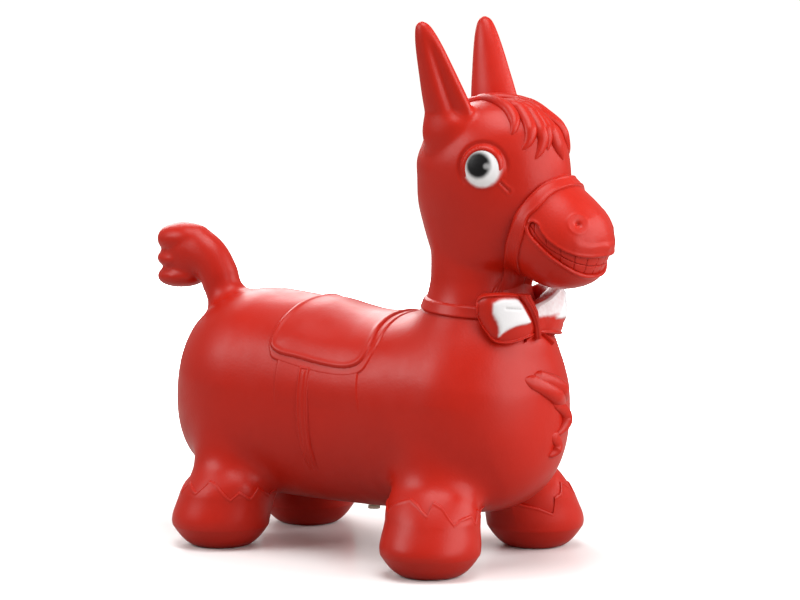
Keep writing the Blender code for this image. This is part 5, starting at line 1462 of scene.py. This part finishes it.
def bow_form(word, side):
    """A pillow with a raised rim, a dished field and a soft bulge under the painted patch."""
    def place(along, turn):
        share = spaced(along)
        radius, top, bottom = curve(BOW_ROWS, LOOP_FIRST + (LOOP_END - LOOP_FIRST) * share)
        end = rounded_end(along, 0.22)
        up_way, out_way = signed_power(sin(turn), 0.62), signed_power(cos(turn), 0.62)
        reach = radius - LOOP_THICKNESS * (1.0 - out_way * end)
        angle = radians(LOOP_START[side] + (LOOP_END - LOOP_START[side]) * share) * side
        height = (top + bottom) / 2.0 + (top - bottom) / 2.0 * up_way * end
        return Vector((NECK_X + reach * cos(angle), reach * sin(angle), height))

    loop = pulled_ball("bow_loop_%s_cloth" % word, 168, 168, place)
    where = [bow_place_of(side, point.co) for point in loop.data.vertices]
    deep = patch_depth(where)
    for point, (degrees, height), inside in zip(loop.data.vertices, where, deep):
        radius, top, bottom = curve(BOW_ROWS, degrees)
        reach = hypot(point.co.x - NECK_X, point.co.y)
        if reach < radius - LOOP_FACE:
            continue
        rim = min(top - height, height - bottom, (LOOP_END - degrees) * DEGREE)
        field = ease((rim - 0.0014) / 0.0026) * ease((degrees - 9.0) / 7.0)
        puff = ease((inside + 0.0035) / 0.0075)
        sink = FIELD_DEPTH * field * (1.0 - PUFF_SHARE * puff)
        sink += FOLD_DEPTH * hump(line_gap(FOLD_WITH_PAINTED_SHADE, degrees, height), 0.0, 0.0013)
        sink += PATCH_EDGE * hump(inside, -0.0006, 0.0010) * ease((40.0 - degrees) / 8.0)
        away = Vector((point.co.x - NECK_X, point.co.y, 0.0)).normalized()
        point.co -= away * sink
    return loop, where, deep


for word, side in SIDES:
    loop, where, deep = bow_form(word, side)
    values = []
    for point, (degrees, height), inside in zip(loop.data.vertices, where, deep):
        radius = curve(BOW_ROWS, degrees)[0]
        shown = ease((hypot(point.co.x - NECK_X, point.co.y) - radius + 0.010) / 0.004)
        # The far loop's upper half: white spray, and a painted glare of the light from behind.
        spray_and_glare = 0.72 * ease((height - 0.259) / 0.006) if side > 0 else 0.0
        # The second value darkens the fold line: painted shade in the black mask.
        values.append((max(ease((inside + 0.0022) / 0.0058), spray_and_glare) * shown,
                       0.34 * hump(line_gap(FOLD_WITH_PAINTED_SHADE, degrees, height), 0.0, 0.0012) * shown))
    for (name, _, _), amounts in zip(PAINT_AND_LIGHT_MASKS, zip(*values)):
        add_colour_mask(loop, name, amounts)
    finished(loop, ["bow_loop_" + word, "bow_panel_" + word], bow_paint_and_painted_light)


KNOT_ROWS = thousandths([
    # height, then the near and the far edge in degrees round the neck
    (239, 12, 5.5), (244, 13.5, 6), (252, 16, 8), (260, 19, 11), (270, 23, 15), (279, 27, 19),
    (285, 30, 21.5), (288.5, 31, 22.5),
], 1, 2)


def knot_place(along, turn):
    height = KNOT_ROWS[0][0] + (KNOT_ROWS[-1][0] - KNOT_ROWS[0][0]) * spaced(along)
    near, far = curve(KNOT_ROWS, height)
    end = rounded_end(along, 0.22)
    across, out_way = signed_power(sin(turn), 0.8), signed_power(cos(turn), 0.6)
    degrees = (near + far) / 2.0 + (near - far) / 2.0 * across * end
    pleat = 0.0011 * (0.5 - 0.5 * cos(across * 4.0 * pi)) if out_way > 0.0 else 0.0
    middle = curve(BOW_ROWS, max(degrees, 8.0))[0] - 0.0080
    reach = middle + (0.0110 * out_way - pleat) * end
    angle = -radians(degrees)
    return Vector((NECK_X + reach * cos(angle), reach * sin(angle), height))


finished(pulled_ball("bow_knot_wrap", 144, 96, knot_place), ["bow_knot"])
RIBBONS = {
    # start in degrees, drop along its length, half width at the knot, what it widens by
    -1: (10.0, 0.0060, 0.0042, 0.0),
    1: (-2.0, 0.0115, 0.0042, 0.0034),
}
RIBBON_TURN, RIBBON_HEIGHT, RIBBON_THICKNESS, RIBBON_SUNK = 12.0, 0.2450, 0.0058, 0.002


def ribbon_end(word, side):
    """A short pleated end that lies on the chest."""
    start, drop, narrow, widening = RIBBONS[side]

    def place(along, turn):
        share = spaced(along)
        angle = radians(start + RIBBON_TURN * share)
        end = rounded_end(along, 0.2)
        height = RIBBON_HEIGHT - drop * share
        outward = Vector((cos(angle), side * sin(angle), 0.0))
        onward = Vector((-side * sin(angle), cos(angle), 0.0)) * side
        found = body_tree.ray_cast(Vector((NECK_X, 0.0, height)), outward)[3] or 0.075
        across = (narrow + widening * share) * end * cos(turn)
        pleat = 0.0010 * cos(cos(turn) * 5.0) if sin(turn) > 0.0 else 0.0
        thick = RIBBON_THICKNESS * end * max(sin(turn), -0.4)
        return (Vector((NECK_X, 0.0, height - across * 0.9)) + outward * (found - RIBBON_SUNK + thick + pleat)
                + onward * across * 0.4)
    return pulled_ball("bow_end_" + word, 64, 64, place)


for word, side in SIDES:
    finished(ribbon_end(word, side), ["bow_tail_" + word])

# %% [markdown]
# What no new piece stands for is shown as the imported solid itself: the valve's seat and its plug. They
# are of a cream plastic.

# %% Finish
cream_vinyl = clouded("cream_vinyl", (0.84, 0.78, 0.66), (0.78, 0.71, 0.58), 0.42, 0.20)
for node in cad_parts:
    item = bpy.data.objects.get(node)
    if item and not item.hide_render:
        valve = node.startswith("valve")
        item.data.materials.clear()
        item.data.materials.append(cream_vinyl if valve else red_vinyl)
        print("kept", node)
